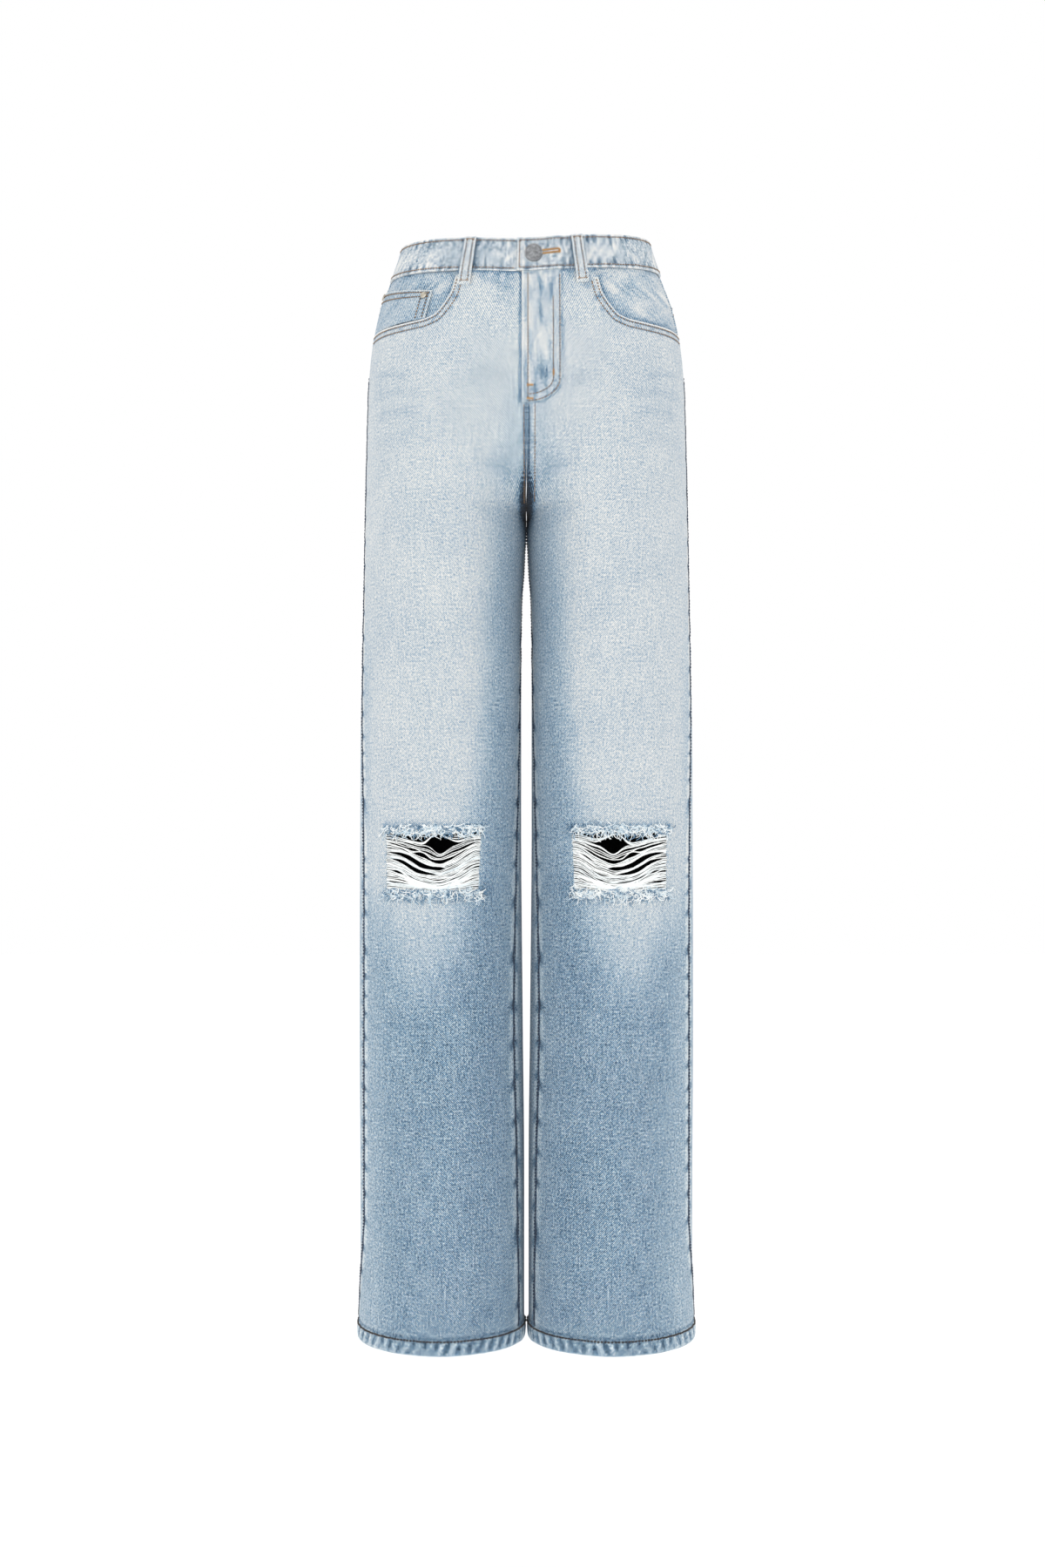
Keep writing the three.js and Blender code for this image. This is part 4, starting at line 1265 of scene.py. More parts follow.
def pocket_belly(share, down):
    """How far the middle of a back pocket stands off the cloth below it."""
    return 1.2 * np.sin(np.pi * share) * np.sin(np.pi * np.clip(down * 1.1, 0, 1))


def back_pocket(side):
    share, down = np.meshgrid(columns_between(60, 0.35), columns_between(56, 0.35))
    across, heights = back_pocket_place(share, down)
    top = down * BACK_POCKET_DOWN
    side_rim = np.minimum(share, 1 - share) * BACK_POCKET_ACROSS
    rim = np.minimum(side_rim, np.minimum(top, (1 - down) * BACK_POCKET_MIDDLE))
    rows = mound(rim - 2.4, 0.9) + mound(rim - 8.4, 0.9) * (top > 6)
    rows = np.maximum(rows, mound(top - BACK_POCKET_HEM, 1.0))
    edge = smooth(1.6, 0.4, rim)
    lift = 0.25 * edge - 0.25 * rows + 0.22 * wander(share * BACK_POCKET_ACROSS + top, 13, 61)
    marks = {"crease": 0.32 * rows, "worn": 0.7 * edge}
    name = f"back_pocket_{HANDS[side]}_cloth"
    out = LAYER_GAP + PATCH_WALL + lift + pocket_belly(share, down)
    return patch(name, side, "back", across, heights, out, PATCH_WALL, "denim", marks)


def band_point(at, share, out=0.0):
    """Point and normal of the waistband at a distance round from the centre front."""
    at, share = np.broadcast_arrays(np.asarray(at, float), np.asarray(share, float))
    around = at / BAND_HALF
    height = band_edge(around) + share * BAND_HEIGHT
    point, normal = skin(1, np.abs(around) * total_length(height), height)
    mirror = mirror_of(at)
    return (point + normal * (BAND_PROUD + np.asarray(out))[..., None]) * mirror, normal * mirror


def band_marks(at, share):
    """Lift and wash of the waistband at distances round it, with painted shadow beside the belt
    loops.
    """
    rise = share * BAND_HEIGHT
    low, high = rise, BAND_HEIGHT - rise
    pucker = np.sin(2 * np.pi * at / 8.4 + 2.2 * wander(at, 21, 71)) * 0.5
    pucker = pucker + 0.5 * wander(at, 4.5, 72)
    rows = mound(low - 2.6, 1.0) + mound(high - 2.4, 1.0)
    lift = -0.42 * np.clip(pucker, 0, 1) * (mound(low - 3, 4.4) + 0.8 * mound(high - 3, 4))
    lift = lift - 0.2 * rows + 0.25 * smooth(1.4, 0.4, np.minimum(low, high))
    lift = lift + 0.35 * wander(at + 0.6 * rise, 17, 73)
    crease = 0.6 * rows + 1.6 * np.clip(pucker, 0, 1) * mound(low - 4, 6)
    crease = crease + 1.5 * np.clip(pucker, 0, 1) * mound(high - 4, 5)
    for line, width, depth, blue in BAND_CREASES:
        deep = fold(line, width, at, rise)
        lift = lift - depth * deep
        crease = np.maximum(crease, blue * deep)
    fade = 0.98 + 0.12 * wander(at, 26, 74) + 0.22 * wander(at - rise, 5, 75)
    fade = fade + 0.5 * wander(at, 2.6, 76) * wander(at + 3 * rise, 11, 77)
    fade = fade - 0.14 * mound(high - 8, 6) * smooth(60, 90, np.abs(at))
    # painted shadow down both sides of each belt loop
    for loop in loop_places().values():
        crease = np.maximum(crease, 1.1 * mound(np.abs(at - loop) - LOOP_WIDTH / 2 - 0.7, 1.4))
    worn = 0.8 * smooth(1.6, 0.5, np.minimum(low, high)) * (1 - np.clip(pucker, 0, 1) * 0.6)
    worn = worn + 0.15 * mound(low - 6, 3) * np.clip(-pucker, 0, 1)
    return lift, fade, np.clip(crease, 0, 1.3), np.clip(worn, 0, 1)


def lap_lift(at):
    """How far the lapping end of the waistband stands off."""
    return (BAND_WALL + 0.3) * (1 - smooth(*OVER_EASE, at))


def waistband():
    under = np.arange(UNDER_END, -BAND_HALF, -1.9)
    over = np.concatenate([np.arange(BAND_HALF, OVER_END, -1.5), [OVER_END]])
    at = np.concatenate([under, over])
    lap = np.concatenate([np.zeros(len(under)), lap_lift(over)])
    share = columns_between(22, 0.5)[:, None]
    lift, fade, crease, worn = band_marks(at[None], share)
    hidden = np.concatenate([smooth(-14, -4, under), np.zeros(len(over))])
    end = np.concatenate([np.zeros(len(under)), smooth(OVER_END + 1.6, OVER_END + 0.4, over)])
    lift = lift * (1 - hidden) - 0.5 * hidden
    points, normals = band_point(at[None], share, lap + lift)
    strip = np.where(np.arange(len(at)) < len(under), at, at - 2 * BAND_HALF)
    flat = np.stack(np.broadcast_arrays(strip, share * BAND_HEIGHT), -1)
    marks = {
        "fade": fade, "crease": crease * (1 - end), "worn": np.maximum(worn, 0.8 * end),
        # painted shade, a little, on the inside of the band
        "shade": np.full_like(fade, 0.3),
    }
    return wall("waistband_cloth", points, normals, BAND_WALL, cloth_finishes("band_denim"),
                marks, flat)


def fly_place(x, down):
    """Height of a place of the fly at a share down from the waistband to its curved edge."""
    reach = np.clip(x, 0, None) / FLY_WIDTH
    bottom = FLY_KNEE - FLY_DROP * np.sqrt(np.clip(1 - reach * reach, 0, 1))
    at = np.sign(x) * distance_of_x(np.abs(x), np.float64(BAND_FRONT_BOTTOM))
    top = band_edge(at / BAND_HALF) - SEAM_GAP
    return mix(top, bottom, down)


def fly_marks(x, z):
    """Lift and wash of the fly, with painted shade just under the waistband."""
    out, _ = along_line(fly_curve(), x, z)
    lift = np.zeros_like(z)
    crease = np.zeros_like(z)
    for line, width, depth, blue in FLY_CREASES:
        deep = fold(line, width, x, z)
        lift = lift - depth * deep
        crease = np.maximum(crease, blue * deep)
    rows = mound(out - 1.6, 0.8) + 0.8 * mound(out - 7.2, 0.8)
    fold_edge = smooth(FLY_EDGE + 2.6, FLY_EDGE + 0.8, x)
    lift = lift + 0.5 * fold_edge - 0.3 * rows + 0.4 * wander(z + x, 9, 81)
    lift = lift - 0.95 * smooth(3.0, 0.2, out) * smooth(-2, 4, x)
    fade = 0.97 - 0.14 * smooth(-84, -118, z) + 0.06 * wander(z, 22, 82)
    fade = fade + 0.34 * wander(x, 2.6, 84) * wander(z + 2 * x, 14, 85)
    # painted shade: the fly darker just under the waistband
    band = 0.3 * smooth(-19, -14, z)
    crease = np.maximum(np.maximum(1.25 * crease, 0.42 * rows), band)
    worn = 0.85 * fold_edge * (0.75 + 0.25 * wander(z, 5, 83))
    return lift, fade, np.clip(crease * (1 - fold_edge), 0, 1), np.clip(worn, 0, 1)


def fly_cloth(x, z, out=0.0):
    """Points and normals on the face of the fly."""
    x, z = np.broadcast_arrays(np.asarray(x, float), np.asarray(z, float))
    distance = distance_of_x(np.abs(x), z)
    point, normal = skin(1, distance, z)
    mirror = mirror_of(x)
    lift = fly_marks(x, z)[0]
    return (point + normal * (FLY_OUT + lift + out)[..., None]) * mirror, normal * mirror


def fly():
    x = np.concatenate([
        np.linspace(FLY_EDGE, 0, 6), np.linspace(0, FLY_WIDTH, 31)[1:-4],
        FLY_WIDTH - np.array([3, 2.2, 1.5, 0.9, 0.45, 0.15, 0.0]),
    ])
    x, down = np.meshgrid(x, columns_between(74, 0.2))
    z = fly_place(x, down)
    points, normals = fly_cloth(x, z)
    _, fade, crease, worn = fly_marks(x, z)
    marks = {"fade": fade, "crease": crease, "worn": worn, "shade": inside_shade(z)}
    return wall("fly_cloth", points, normals, PATCH_WALL, cloth_finishes("denim"), marks,
                np.stack([x, z], -1))


def loop_point(at, x, up, out=0.0):
    """Point and normal of a belt loop: x across it and a share up it."""
    where = at + x
    share = mix(-LOOP_BELOW / BAND_HEIGHT, 1.0, up)
    where = np.where(where > BAND_HALF, where - 2 * BAND_HALF, where)
    bulge = LOOP_BULGE * np.sin(np.pi * np.clip(up, 0, 1))
    return band_point(where, share, LAYER_GAP - 0.2 + LOOP_WALL + bulge + out)


def loop_marks(x, up):
    away = LOOP_WIDTH / 2 - np.abs(x)
    edge = smooth(1.3, 0.3, away)
    rows = mound(away - 2.5, 0.8)
    tip = smooth(0.07, 0.01, up) + smooth(0.94, 0.99, up)
    lift = 0.32 * edge - 0.3 * rows + 0.2 * wander(up * 48 + x, 6, 91)
    lift = lift - 0.8 * smooth(0.04, 0.0, up) + 0.15 * mound(x, 2)
    fade = 0.97 + 0.08 * wander(up * 48, 9, 92)
    crease = 0.36 * rows * (1 - tip)
    worn = np.clip(0.6 * edge + 0.5 * smooth(0.2, 0.05, up) + 0.3 * mound(x, 1.6), 0, 1)
    return lift, fade, np.clip(crease, 0, 1), worn


def belt_loop(name, at):
    x, up = np.meshgrid(np.linspace(-0.5, 0.5, 19) * LOOP_WIDTH, columns_between(44, 0.4))
    lift, fade, crease, worn = loop_marks(x, up)
    points, normals = loop_point(at, x, up, lift)
    # painted shade, a little, on the inside of the loop
    marks = {"fade": fade, "crease": crease, "worn": worn, "shade": np.full_like(x, 0.3)}
    flat = np.stack([x, up * (BAND_HEIGHT + LOOP_BELOW)], -1)
    return wall(name, points, normals, LOOP_WALL, cloth_finishes("loop_denim"), marks, flat)


def loop_places():
    """Names of the belt loops and how far round the waist each one is."""
    level = np.float64(BAND_FRONT_BOTTOM)
    places = {}
    for side, hand in HANDS.items():
        front = float(distance_of_x(LOOP_FRONT[side], level))
        places[f"belt_loop_front_{hand}"] = side * front
        places[f"belt_loop_side_{hand}"] = side * LOOP_SIDE * BAND_HALF
    places["belt_loop_back"] = BAND_HALF
    return places


def zip_tape():
    x, z = np.meshgrid(
        ZIP_CENTRE + np.linspace(-1, 1, 14) * ZIP_HALF_WIDTH,
        np.linspace(BAND_FRONT_BOTTOM - 1, ZIP_BOTTOM, 60),
    )
    distance = distance_of_x(np.abs(x), z)
    point, normal = skin(1, distance, z)
    mirror = mirror_of(x)
    points = (point - normal * (PANEL_WALL + 0.6)) * mirror
    marks = {label: np.zeros_like(x) for label in ("fade", "crease", "worn", "shade")}
    return wall("zip_tape_cloth", points, normal * mirror, ZIP_WALL, cloth_finishes("zip_tape"),
                marks, np.stack([x, z], -1))


# ------------------------------------------------------------------ stitching


def on_front(side, x, z, out=0.3):
    """Points of the front's cloth at distances from the centre line, and normals."""
    x, z = np.broadcast_arrays(np.asarray(x, float), np.asarray(z, float))
    return cloth(side, "front", distance_of_x(x, z), z, out)


def on_band(at, share, out=0.3):
    """Points of the finished waistband and its normals."""
    at, share = np.broadcast_arrays(np.asarray(at, float), np.asarray(share, float))
    lap = np.where(at > OVER_END - 1, lap_lift(at), 0) * (at > -10)
    return band_point(at, share, band_marks(at, share)[0] + lap + out)


def mouth_row(side, inset):
    """Line along a pocket mouth, a distance inside the panel."""
    x = np.linspace(POCKET_MOUTH[0][0], POCKET_MOUTH[-1][0], 160)
    z = pocket_mouth(x)
    distance = distance_of_x(x, z)
    way = np.gradient(np.stack([distance, z], -1), axis=0)
    way /= np.linalg.norm(way, axis=1, keepdims=True)
    distance = distance + way[:, 1] * inset
    z = z - way[:, 0] * inset
    end = region_span("front", z)[1] - 1.5
    good = (distance < end) & (z < BAND_FRONT_BOTTOM + 4)
    return cloth(side, "front", distance[good], z[good], 0.25)


def coin_row(share, down, out=0.3):
    across, heights = coin_place(np.asarray(share, float), np.asarray(down, float))
    distance = distance_at("front", across, heights)
    point, normal = skin(COIN_SIDE, distance, heights)
    return point + normal * (COIN_OUT + out), normal


def pocket_row(side, share, down):
    across, heights = back_pocket_place(np.asarray(share, float), np.asarray(down, float))
    share, down = np.broadcast_arrays(share, down)
    out = LAYER_GAP + PATCH_WALL + pocket_belly(share, down) + 0.15
    return cloth(side, "back", distance_at("back", across, heights), heights, out)


def sew_waist(brown, orange):
    for start, end in ((OVER_END + 2, BAND_HALF), (-BAND_HALF, OVER_END - 2)):
        at = np.linspace(start, end, 500)
        for share in (2.8 / BAND_HEIGHT, 1 - 2.4 / BAND_HEIGHT):
            brown.row(*on_band(at, share))
    up = np.linspace(0.09, 0.92, 30)
    brown.row(*on_band(np.full(30, OVER_END + 2.2), up))
    for at in loop_places().values():
        for x in (-LOOP_WIDTH / 2 + 2.5, LOOP_WIDTH / 2 - 2.5):
            up = np.linspace(0.06, 0.96, 40)
            lift = loop_marks(np.full(40, x), up)[0]
            brown.row(*loop_point(at, np.full(40, x), up, lift + 0.3), share=0.62)
        for up in (0.06, 0.95):
            x = np.linspace(-4.6, 4.6, 20)
            lift = loop_marks(x, np.full(20, up))[0]
            brown.row(*loop_point(at, x, np.full(20, up), lift + 0.3), pitch=1.7, share=0.85)
    slot = np.linspace(14.5, 31, 15)
    for edge, turn in ((-1, -0.25), (1, 0.25)):
        height = BUTTON_Z - BAND_FRONT_BOTTOM + edge * 1.5
        centre, normal = on_band(slot, (height + 0.04 * slot) / BAND_HEIGHT, 0.35)
        upper, _ = on_band(slot + turn, (height + 1 + 0.04 * slot) / BAND_HEIGHT, 0.35)
        orange.bars(centre, upper - centre, normal, 2.3, 0.5)
    end, normal = on_band(np.full(4, 32.0), 0.54 + np.linspace(-0.05, 0.05, 4), 0.35)
    orange.bars(end, np.tile([1.0, 0.1, 0.0], (4, 1)), normal, 2.2, 0.5)


def sew_fly(brown, orange, navy):
    curve = np.array(fly_curve())[:-1]
    steps = np.linspace(0, 1, 160)
    lengths = np.concatenate([[0], np.cumsum(np.linalg.norm(np.diff(curve, axis=0), axis=1))])
    line = np.stack([np.interp(steps * lengths[-1], lengths, curve[:, i]) for i in (0, 1)], -1)
    way = np.gradient(line, axis=0)
    way /= np.linalg.norm(way, axis=1, keepdims=True)
    for inset, first in ((1.3, 0.2), (7.4, 0.32)):
        inner = line + np.stack([way[:, 1], -way[:, 0]], -1) * inset
        seen = (steps > first) & (inner[:, 1] < -15) & (inner[:, 0] > 1)
        brown.row(*fly_cloth(*inner[seen].T, 0.3))
    z = np.linspace(-15, -134, 80)
    brown.row(*fly_cloth(np.full(80, FLY_EDGE + 5.6), z, 0.3))
    for x, z, way, count in (
        (24.8, -107, (0, -1), 6), (0.5, -121.5, (1, 0), 6), (0.5, -134, (1, 0), 6),
    ):
        place = np.array([x, z]) + np.outer(np.arange(count) * 1.05, way)
        centre, normal = fly_cloth(*place.T, 0.35)
        cross = np.array([-way[1], 0.0, way[0]], float)
        orange.bars(centre, np.tile(cross, (count, 1)), normal, 2.2, 0.45)
    z = np.linspace(-139, -222, 60)
    for side, x, work in ((1, 2.4, navy), (1, 7.6, brown), (-1, 2.4, brown)):
        work.row(*on_front(side, np.full(60, x), z))


def sew_pockets(brown):
    for side in HANDS:
        brown.row(*mouth_row(side, 2.2))
        brown.row(*mouth_row(side, 7.2))
        for inset in (2.4, 8.4):
            along = np.linspace(0, 1, 60)
            left = inset / BACK_POCKET_ACROSS
            right = 1 - left
            bottom = 1 - inset / BACK_POCKET_MIDDLE
            down = mix(0.01, bottom, along)
            brown.row(*pocket_row(side, np.full(60, left), down))
            brown.row(*pocket_row(side, np.full(60, right), down))
            brown.row(*pocket_row(side, mix(left, right, along), np.full(60, bottom)))
        along = np.linspace(0.01, 0.99, 60)
        for drop in (2.4, BACK_POCKET_HEM):
            brown.row(*pocket_row(side, along, np.full(60, drop / BACK_POCKET_DOWN)))
    along = np.linspace(0.02, 0.98, 60)
    for inset in (2.2, 6.6):
        brown.row(*coin_row(along, np.full(60, inset / COIN_DOWN)))
        brown.row(*coin_row(np.full(60, inset / COIN_ACROSS), mix(0.02, 0.98, along)))


def sew_seams(brown, navy, dark):
    for side in HANDS:
        across = np.linspace(0.01, 0.99, 120)
        for rise in (2.4, 8.4):
            z = yoke_seam(across) + rise
            brown.row(*cloth(side, "back", distance_at("back", across, z), z, 0.25))
        z = np.linspace(-64, -212, 80)
        for inset in (2.6, 9.0):
            if side > 0:
                brown.row(*cloth(side, "back", region_span("back", z)[1] - inset, z, 0.25))
        for region, top in (("front", -92.0), ("back", -96.0)):
            z = np.arange(top, HEM + HEM_HEIGHT, -2.0)
            start, end = region_span(region, z)
            outer = end - 1.1 if region == "front" else start + 1.1
            navy.row(*cloth(side, region, outer, z, 0.2), share=0.95, radius=0.85)
            z = z[z < CROTCH - 6]
            start, end = region_span(region, z)
            inner = start + 1.1 if region == "front" else end - 1.1
            navy.row(*cloth(side, region, inner, z, 0.2), share=0.95, radius=0.65)
            z = np.full(160, HEM + HEM_HEIGHT - 1.4)
            distance = mix(*region_span(region, z), np.linspace(0.004, 0.996, 160))
            dark.row(*cloth(side, region, distance, z, 0.3), pitch=3.3, share=0.84, radius=0.95)


# ------------------------------------------------------------------ rips

# Gaps between the yarns of a rip: how far towards the inseam of its middle, how far up, and
# half the height of the gap
RIP_GAPS = [
    [(-40, 23.8, 0.5), (-31.1, 23.1, 1.4), (-24.6, 22, 2), (-18.1, 21.2, 2.4),
     (-11.6, 20.4, 3), (-7.6, 19.6, 2.2), (-3.9, 22.4, 0.5)],
    [(-6.7, 16.3, 0.2), (-2.7, 16.7, 2.8), (1.4, 17.6, 5.3), (5.4, 15.5, 7.7), (9.5, 14.7, 6.1),
     (14.4, 15.5, 4.1), (18.5, 16.7, 2), (22.1, 18, 0.2)],
    [(-17.3, 7.8, 0.4), (-7.6, 6.2, 1.2), (-1.9, -0.3, 1), (8.7, -1.1, 1.6), (19.3, 2.9, 1),
     (34.7, 13.5, 0.3)],
    [(-41.7, 7.8, 0.6), (-30.3, 6.2, 1.2), (-20.6, 2.1, 2), (-11.6, -4.4, 2.4),
     (-1.9, -6.8, 1.4), (12, -6, 0.5)],
    [(-40.1, 2.1, 0.4), (-27.9, -1.1, 1.6), (-16.5, -8.5, 2), (-6.7, -11.7, 1.3),
     (4.6, -12.5, 0.4)],
    [(-36, -9.8, 0.3), (-32.8, -10.2, 1.5), (-29.5, -11, 0.4)],
    [(-24.6, -15, 0.2), (-13.2, -18.2, 0.5), (-1.9, -20.6, 0.6)],
    [(1.4, -23.1, 0.2), (6.5, -23.3, 0.6), (12, -22.3, 0.2)],
    [(15.2, -19, 0.2), (17.4, -17.5, 0.6), (19.3, -16.6, 0.2)],
    [(24.1, -15.8, 0.2), (31.5, -10.9, 0.7), (38.8, -5.2, 0.2)],
    [(24.1, -22.3, 0.2), (27, -20.3, 0.6), (29.8, -18.2, 0.2)],
    [(29, 3.7, 0.3), (32.8, 4.9, 0.8), (36.3, 6.2, 0.2)],
    [(-41.7, 14.3, 0.2), (-26, 12.6, 0.5), (-12.4, 11.1, 0.4)],
    [(29.8, -6.4, 0.2), (34, -5.2, 0.5), (38, -4, 0.2)],
    [(10.8, -8.3, 0.2), (16.4, -5, 0.5), (21.4, -2.8, 0.2)],
    [(14.6, -16.9, 0.2), (22.2, -11.3, 0.6), (29.7, -6.8, 0.2)],
    [(20.9, -19.4, 0.2), (28.5, -15.1, 0.6), (36, -10.1, 0.2)],
    [(26, -22.7, 0.2), (33.5, -18.4, 0.6), (41.6, -12.6, 0.2)],
    [(23.4, 8.8, 0.2), (31, 12.6, 0.6), (41, 16.4, 0.2)],
    [(19.6, 12.3, 0.2), (28.5, 17.6, 0.5), (38.5, 21.7, 0.2)],
    [(-42.6, -16.9, 0.2), (-37, -15.9, 0.5), (-30.7, -16.9, 0.2)],
    [(-42, -22.2, 0.2), (-32, -20.2, 0.6), (-21.9, -22.2, 0.2)],
]
RIP_SAG = [
    [-44, 0], [-30, -3], [-20, -8], [-10, -12], [0, -14], [8, -14], [16, -12.5], [24, -10],
    [32, -5], [40, -0.5], [44, 0],
]


def yarn_heights(across, start, seed):
    """Height of one yarn over the middle of its rip: it sags and parts round the gaps."""
    give = smooth(-27, -5, start) * 0.85 + 0.15
    give = mix(give, 0.4, smooth(16, 21, start))
    z = start + profile(RIP_SAG, across) * give + 0.55 * wander(across, 7, seed)
    for gap in RIP_GAPS:
        x, middle, half = np.array(gap).T
        c = np.interp(across, x, middle)
        h = GAP_SPREAD * np.interp(across, x, half, left=0, right=0)
        thick = half.argmax()
        side = 1.0 if np.interp(x[thick], across, z) > middle[thick] else -1.0
        away = side * (z - c)
        pushed = np.sqrt(np.clip(away, 0, None) ** 2 + h * h) - away
        z = z + side * pushed * smooth(0, 0.8, h)
    soft = np.pad(z, 2, mode="edge")
    return (soft[:-4] + 2 * soft[1:-3] + 3 * soft[2:-2] + 2 * soft[3:-1] + soft[4:]) / 9


def rip_place(side, across, up, out):
    """Points over a rip, a distance off the cloth."""
    return on_front(side, RIP_X - across, RIP_Z + up, out)


def rip_yarns(side, sizes):
    """Undyed yarns left across a rip."""
    random = np.random.default_rng(300 + side)
    across = np.linspace(-YARN_REACH, YARN_REACH, 52)
    lines, dyes = [], []
    for number, start in enumerate(np.linspace(24.5, -27.5, sizes.yarns)):
        seed = 500 + number + 100 * side
        up = yarn_heights(across, start + random.uniform(-0.5, 0.5), seed)
        end = smooth(41, 47, np.abs(across))
        out = -0.75 + 0.7 * wander(across, 17, seed + 60) - 0.5 * end
        lines.append(rip_place(side, across, up, out)[0])
        dyes.append(abs(random.normal(0.0, 0.1)))
    lines = np.array(lines)
    girth = random.uniform(0.34, 0.47, (len(lines), 1)) * np.ones(lines.shape[1])
    girth = girth * (1 + 0.16 * random.standard_normal(girth.shape))
    return tubes(f"rip_yarns_{HANDS[side]}", lines, np.clip(girth, 0.22, 0.58), 5,
                 finish_named("loose yarn"), {"dye": dyes})


def rip_fringe(side, sizes):
    """Broken yarn ends curling out of a rip's upper and lower edges."""
    random = np.random.default_rng(340 + side)
    lines, dyes, girths = [], [], []
    for roots, mixed in (((27, 34), (0.44, 0.34, 0.22)), ((-33, -27), (0.44, 0.28, 0.28))):
        for _ in range(sizes.fringe):
            x = random.uniform(-RIP_HALF_WIDTH - 1, RIP_HALF_WIDTH + 1)
            z = random.uniform(*roots)
            turn = random.normal(-np.pi / 2, 0.85)
            bend = random.normal(0, 0.42)
            step = random.uniform(0.9, 2.0)
            places = [(x, z)]
            for _ in range(6):
                turn += bend + random.normal(0, 0.25)
                x += step * math.cos(turn)
                z += step * (math.sin(turn) * 0.85 - FRINGE_DROOP)
                places.append((x, z))
            across, up = np.array(places).T
            out = 0.2 + random.uniform(0.3, 2.4) * np.sin(np.linspace(0.1, 2.6, 7))
            lines.append(rip_place(side, across, up, out)[0])
            dyes.append((0.02, 0.4, 0.85)[random.choice(3, p=mixed)] + random.uniform(0, 0.1))
            girths.append(random.uniform(0.34, 0.6) * np.linspace(1, 0.7, 7))
    return tubes(f"rip_fringe_{HANDS[side]}", np.array(lines), np.array(girths), 3,
                 finish_named("loose yarn"), {"dye": dyes})


# ------------------------------------------------------------------ hard pieces


def standing(point, normal):
    """Placement of a hard piece, in metres: its Z axis stands out of the cloth."""
    normal = Vector(normal)
    turn = normal.to_track_quat("Z", "Y").to_matrix().to_4x4()
    return Matrix.Translation(Vector(point) * MM) @ turn


def begin(kind, **settings):
    """A primitive in edit mode with nothing of it selected."""
    bpy.ops.object.select_all(action="DESELECT")
    getattr(bpy.ops.mesh, kind)(**settings)
    bpy.ops.object.mode_set(mode="EDIT")
    bpy.ops.mesh.select_mode(type="FACE")
    bpy.ops.mesh.select_all(action="DESELECT")
    return bpy.context.object


def pick(piece, chosen):
    """Selects the faces whose middle and normal the test accepts."""
    mesh = bmesh.from_edit_mesh(piece.data)
    for face in mesh.faces:
        face.select_set(chosen(face.calc_center_median(), face.normal))
    bmesh.update_edit_mesh(piece.data)


def end_piece(piece, name, placement, finish):
    """Leaves edit mode, puts the piece in place and gives it its name and finish."""
    bpy.ops.mesh.select_all(action="SELECT")
    bpy.ops.mesh.normals_make_consistent(inside=False)
    bpy.ops.object.mode_set(mode="OBJECT")
    piece.name = piece.data.name = name
    piece.matrix_world = placement @ piece.matrix_world
    bpy.ops.object.transform_apply(location=True, rotation=True, scale=True)
    piece.data.materials.clear()
    piece.data.materials.append(finish_named(finish))
    bpy.ops.object.shade_smooth_by_angle(angle=math.radians(38))
    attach(piece, "root")
    return piece


def round_head(name, radius, seat, height, shank, rings, placement, finish):
    """Disc on a shank, its rim rounded and its face stepped by rings of (inset, rise)."""
    piece = begin(
        "primitive_cylinder_add", vertices=40, radius=radius * MM, depth=height * MM,
        location=(0, 0, (seat + height / 2) * MM),
    )
    pick(piece, lambda middle, normal: normal.z > 0.9)
    bpy.ops.mesh.inset(thickness=0.12 * radius * MM, depth=0.22 * height * MM)
    for inset, rise in rings:
        bpy.ops.mesh.inset(thickness=inset * MM, depth=rise * MM)
    pick(piece, lambda middle, normal: normal.z < -0.9)
    bpy.ops.mesh.inset(thickness=(radius - shank) * MM, depth=0)
    bpy.ops.mesh.extrude_region_move(TRANSFORM_OT_translate={"value": (0, 0, -seat * MM)})
    return end_piece(piece, name, placement, finish)


def waist_button():
    at = float(distance_of_x(BUTTON_X, np.float64(BUTTON_Z)))
    share = (BUTTON_Z - BAND_FRONT_BOTTOM) / BAND_HEIGHT
    point, normal = band_point(np.float64(at), share, 0.3)
    rings = [(0.5, -0.6), (0.6, 0.0), (2.2, 0.3), (0.45, -0.35), (0.5, 0.0), (0.45, 0.35)]
    return round_head("waist_button", radius=8.3, seat=2.4, height=1.7, shank=2.3, rings=rings,
                      placement=standing(point, normal), finish="aged nickel")


def coin_rivet(name, across, height):
    point, normal = skin(COIN_SIDE, distance_at("front", across, np.float64(height)),
                         np.float64(height))
    point = point + normal * (COIN_OUT + 0.3)
    rings = [(0.7, 0.25), (0.6, 0.1), (0.5, -0.25)]
    return round_head(name, radius=3.4, seat=0.2, height=0.8, shank=1.6, rings=rings,
                      placement=standing(point, normal), finish="rivet metal")


def zip_slide():
    """Slider of the zip: a plate with a narrower nose and a bridge on its outer face."""
    z = np.float64(-22)
    point, normal = skin(1, distance_of_x(ZIP_CENTRE, z), z)
    point = point - normal * (PANEL_WALL + 1 + 0.6)
    piece = begin("primitive_cube_add", size=1.0, location=(0, 0, 0))
    bpy.ops.mesh.select_all(action="SELECT")
    bpy.ops.transform.resize(value=(8 * MM, 12 * MM, 1.6 * MM), center_override=(0, 0, 0))
    bpy.ops.transform.translate(value=(0, 0, -0.8 * MM))
    pick(piece, lambda middle, normal: normal.y < -0.9)
    bpy.ops.transform.resize(value=(0.65, 1, 1), center_override=(0, 0, 0))
    pick(piece, lambda middle, normal: normal.z < -0.9)
    bpy.ops.mesh.inset(thickness=1.6 * MM, depth=0)
    bpy.ops.transform.resize(value=(0.5, 0.8, 1), center_override=(0, 0, 0))
    bpy.ops.mesh.inset(thickness=0.3 * MM, depth=0.25 * MM)
    return end_piece(piece, "zip_slide", standing(point, normal), "zip metal")


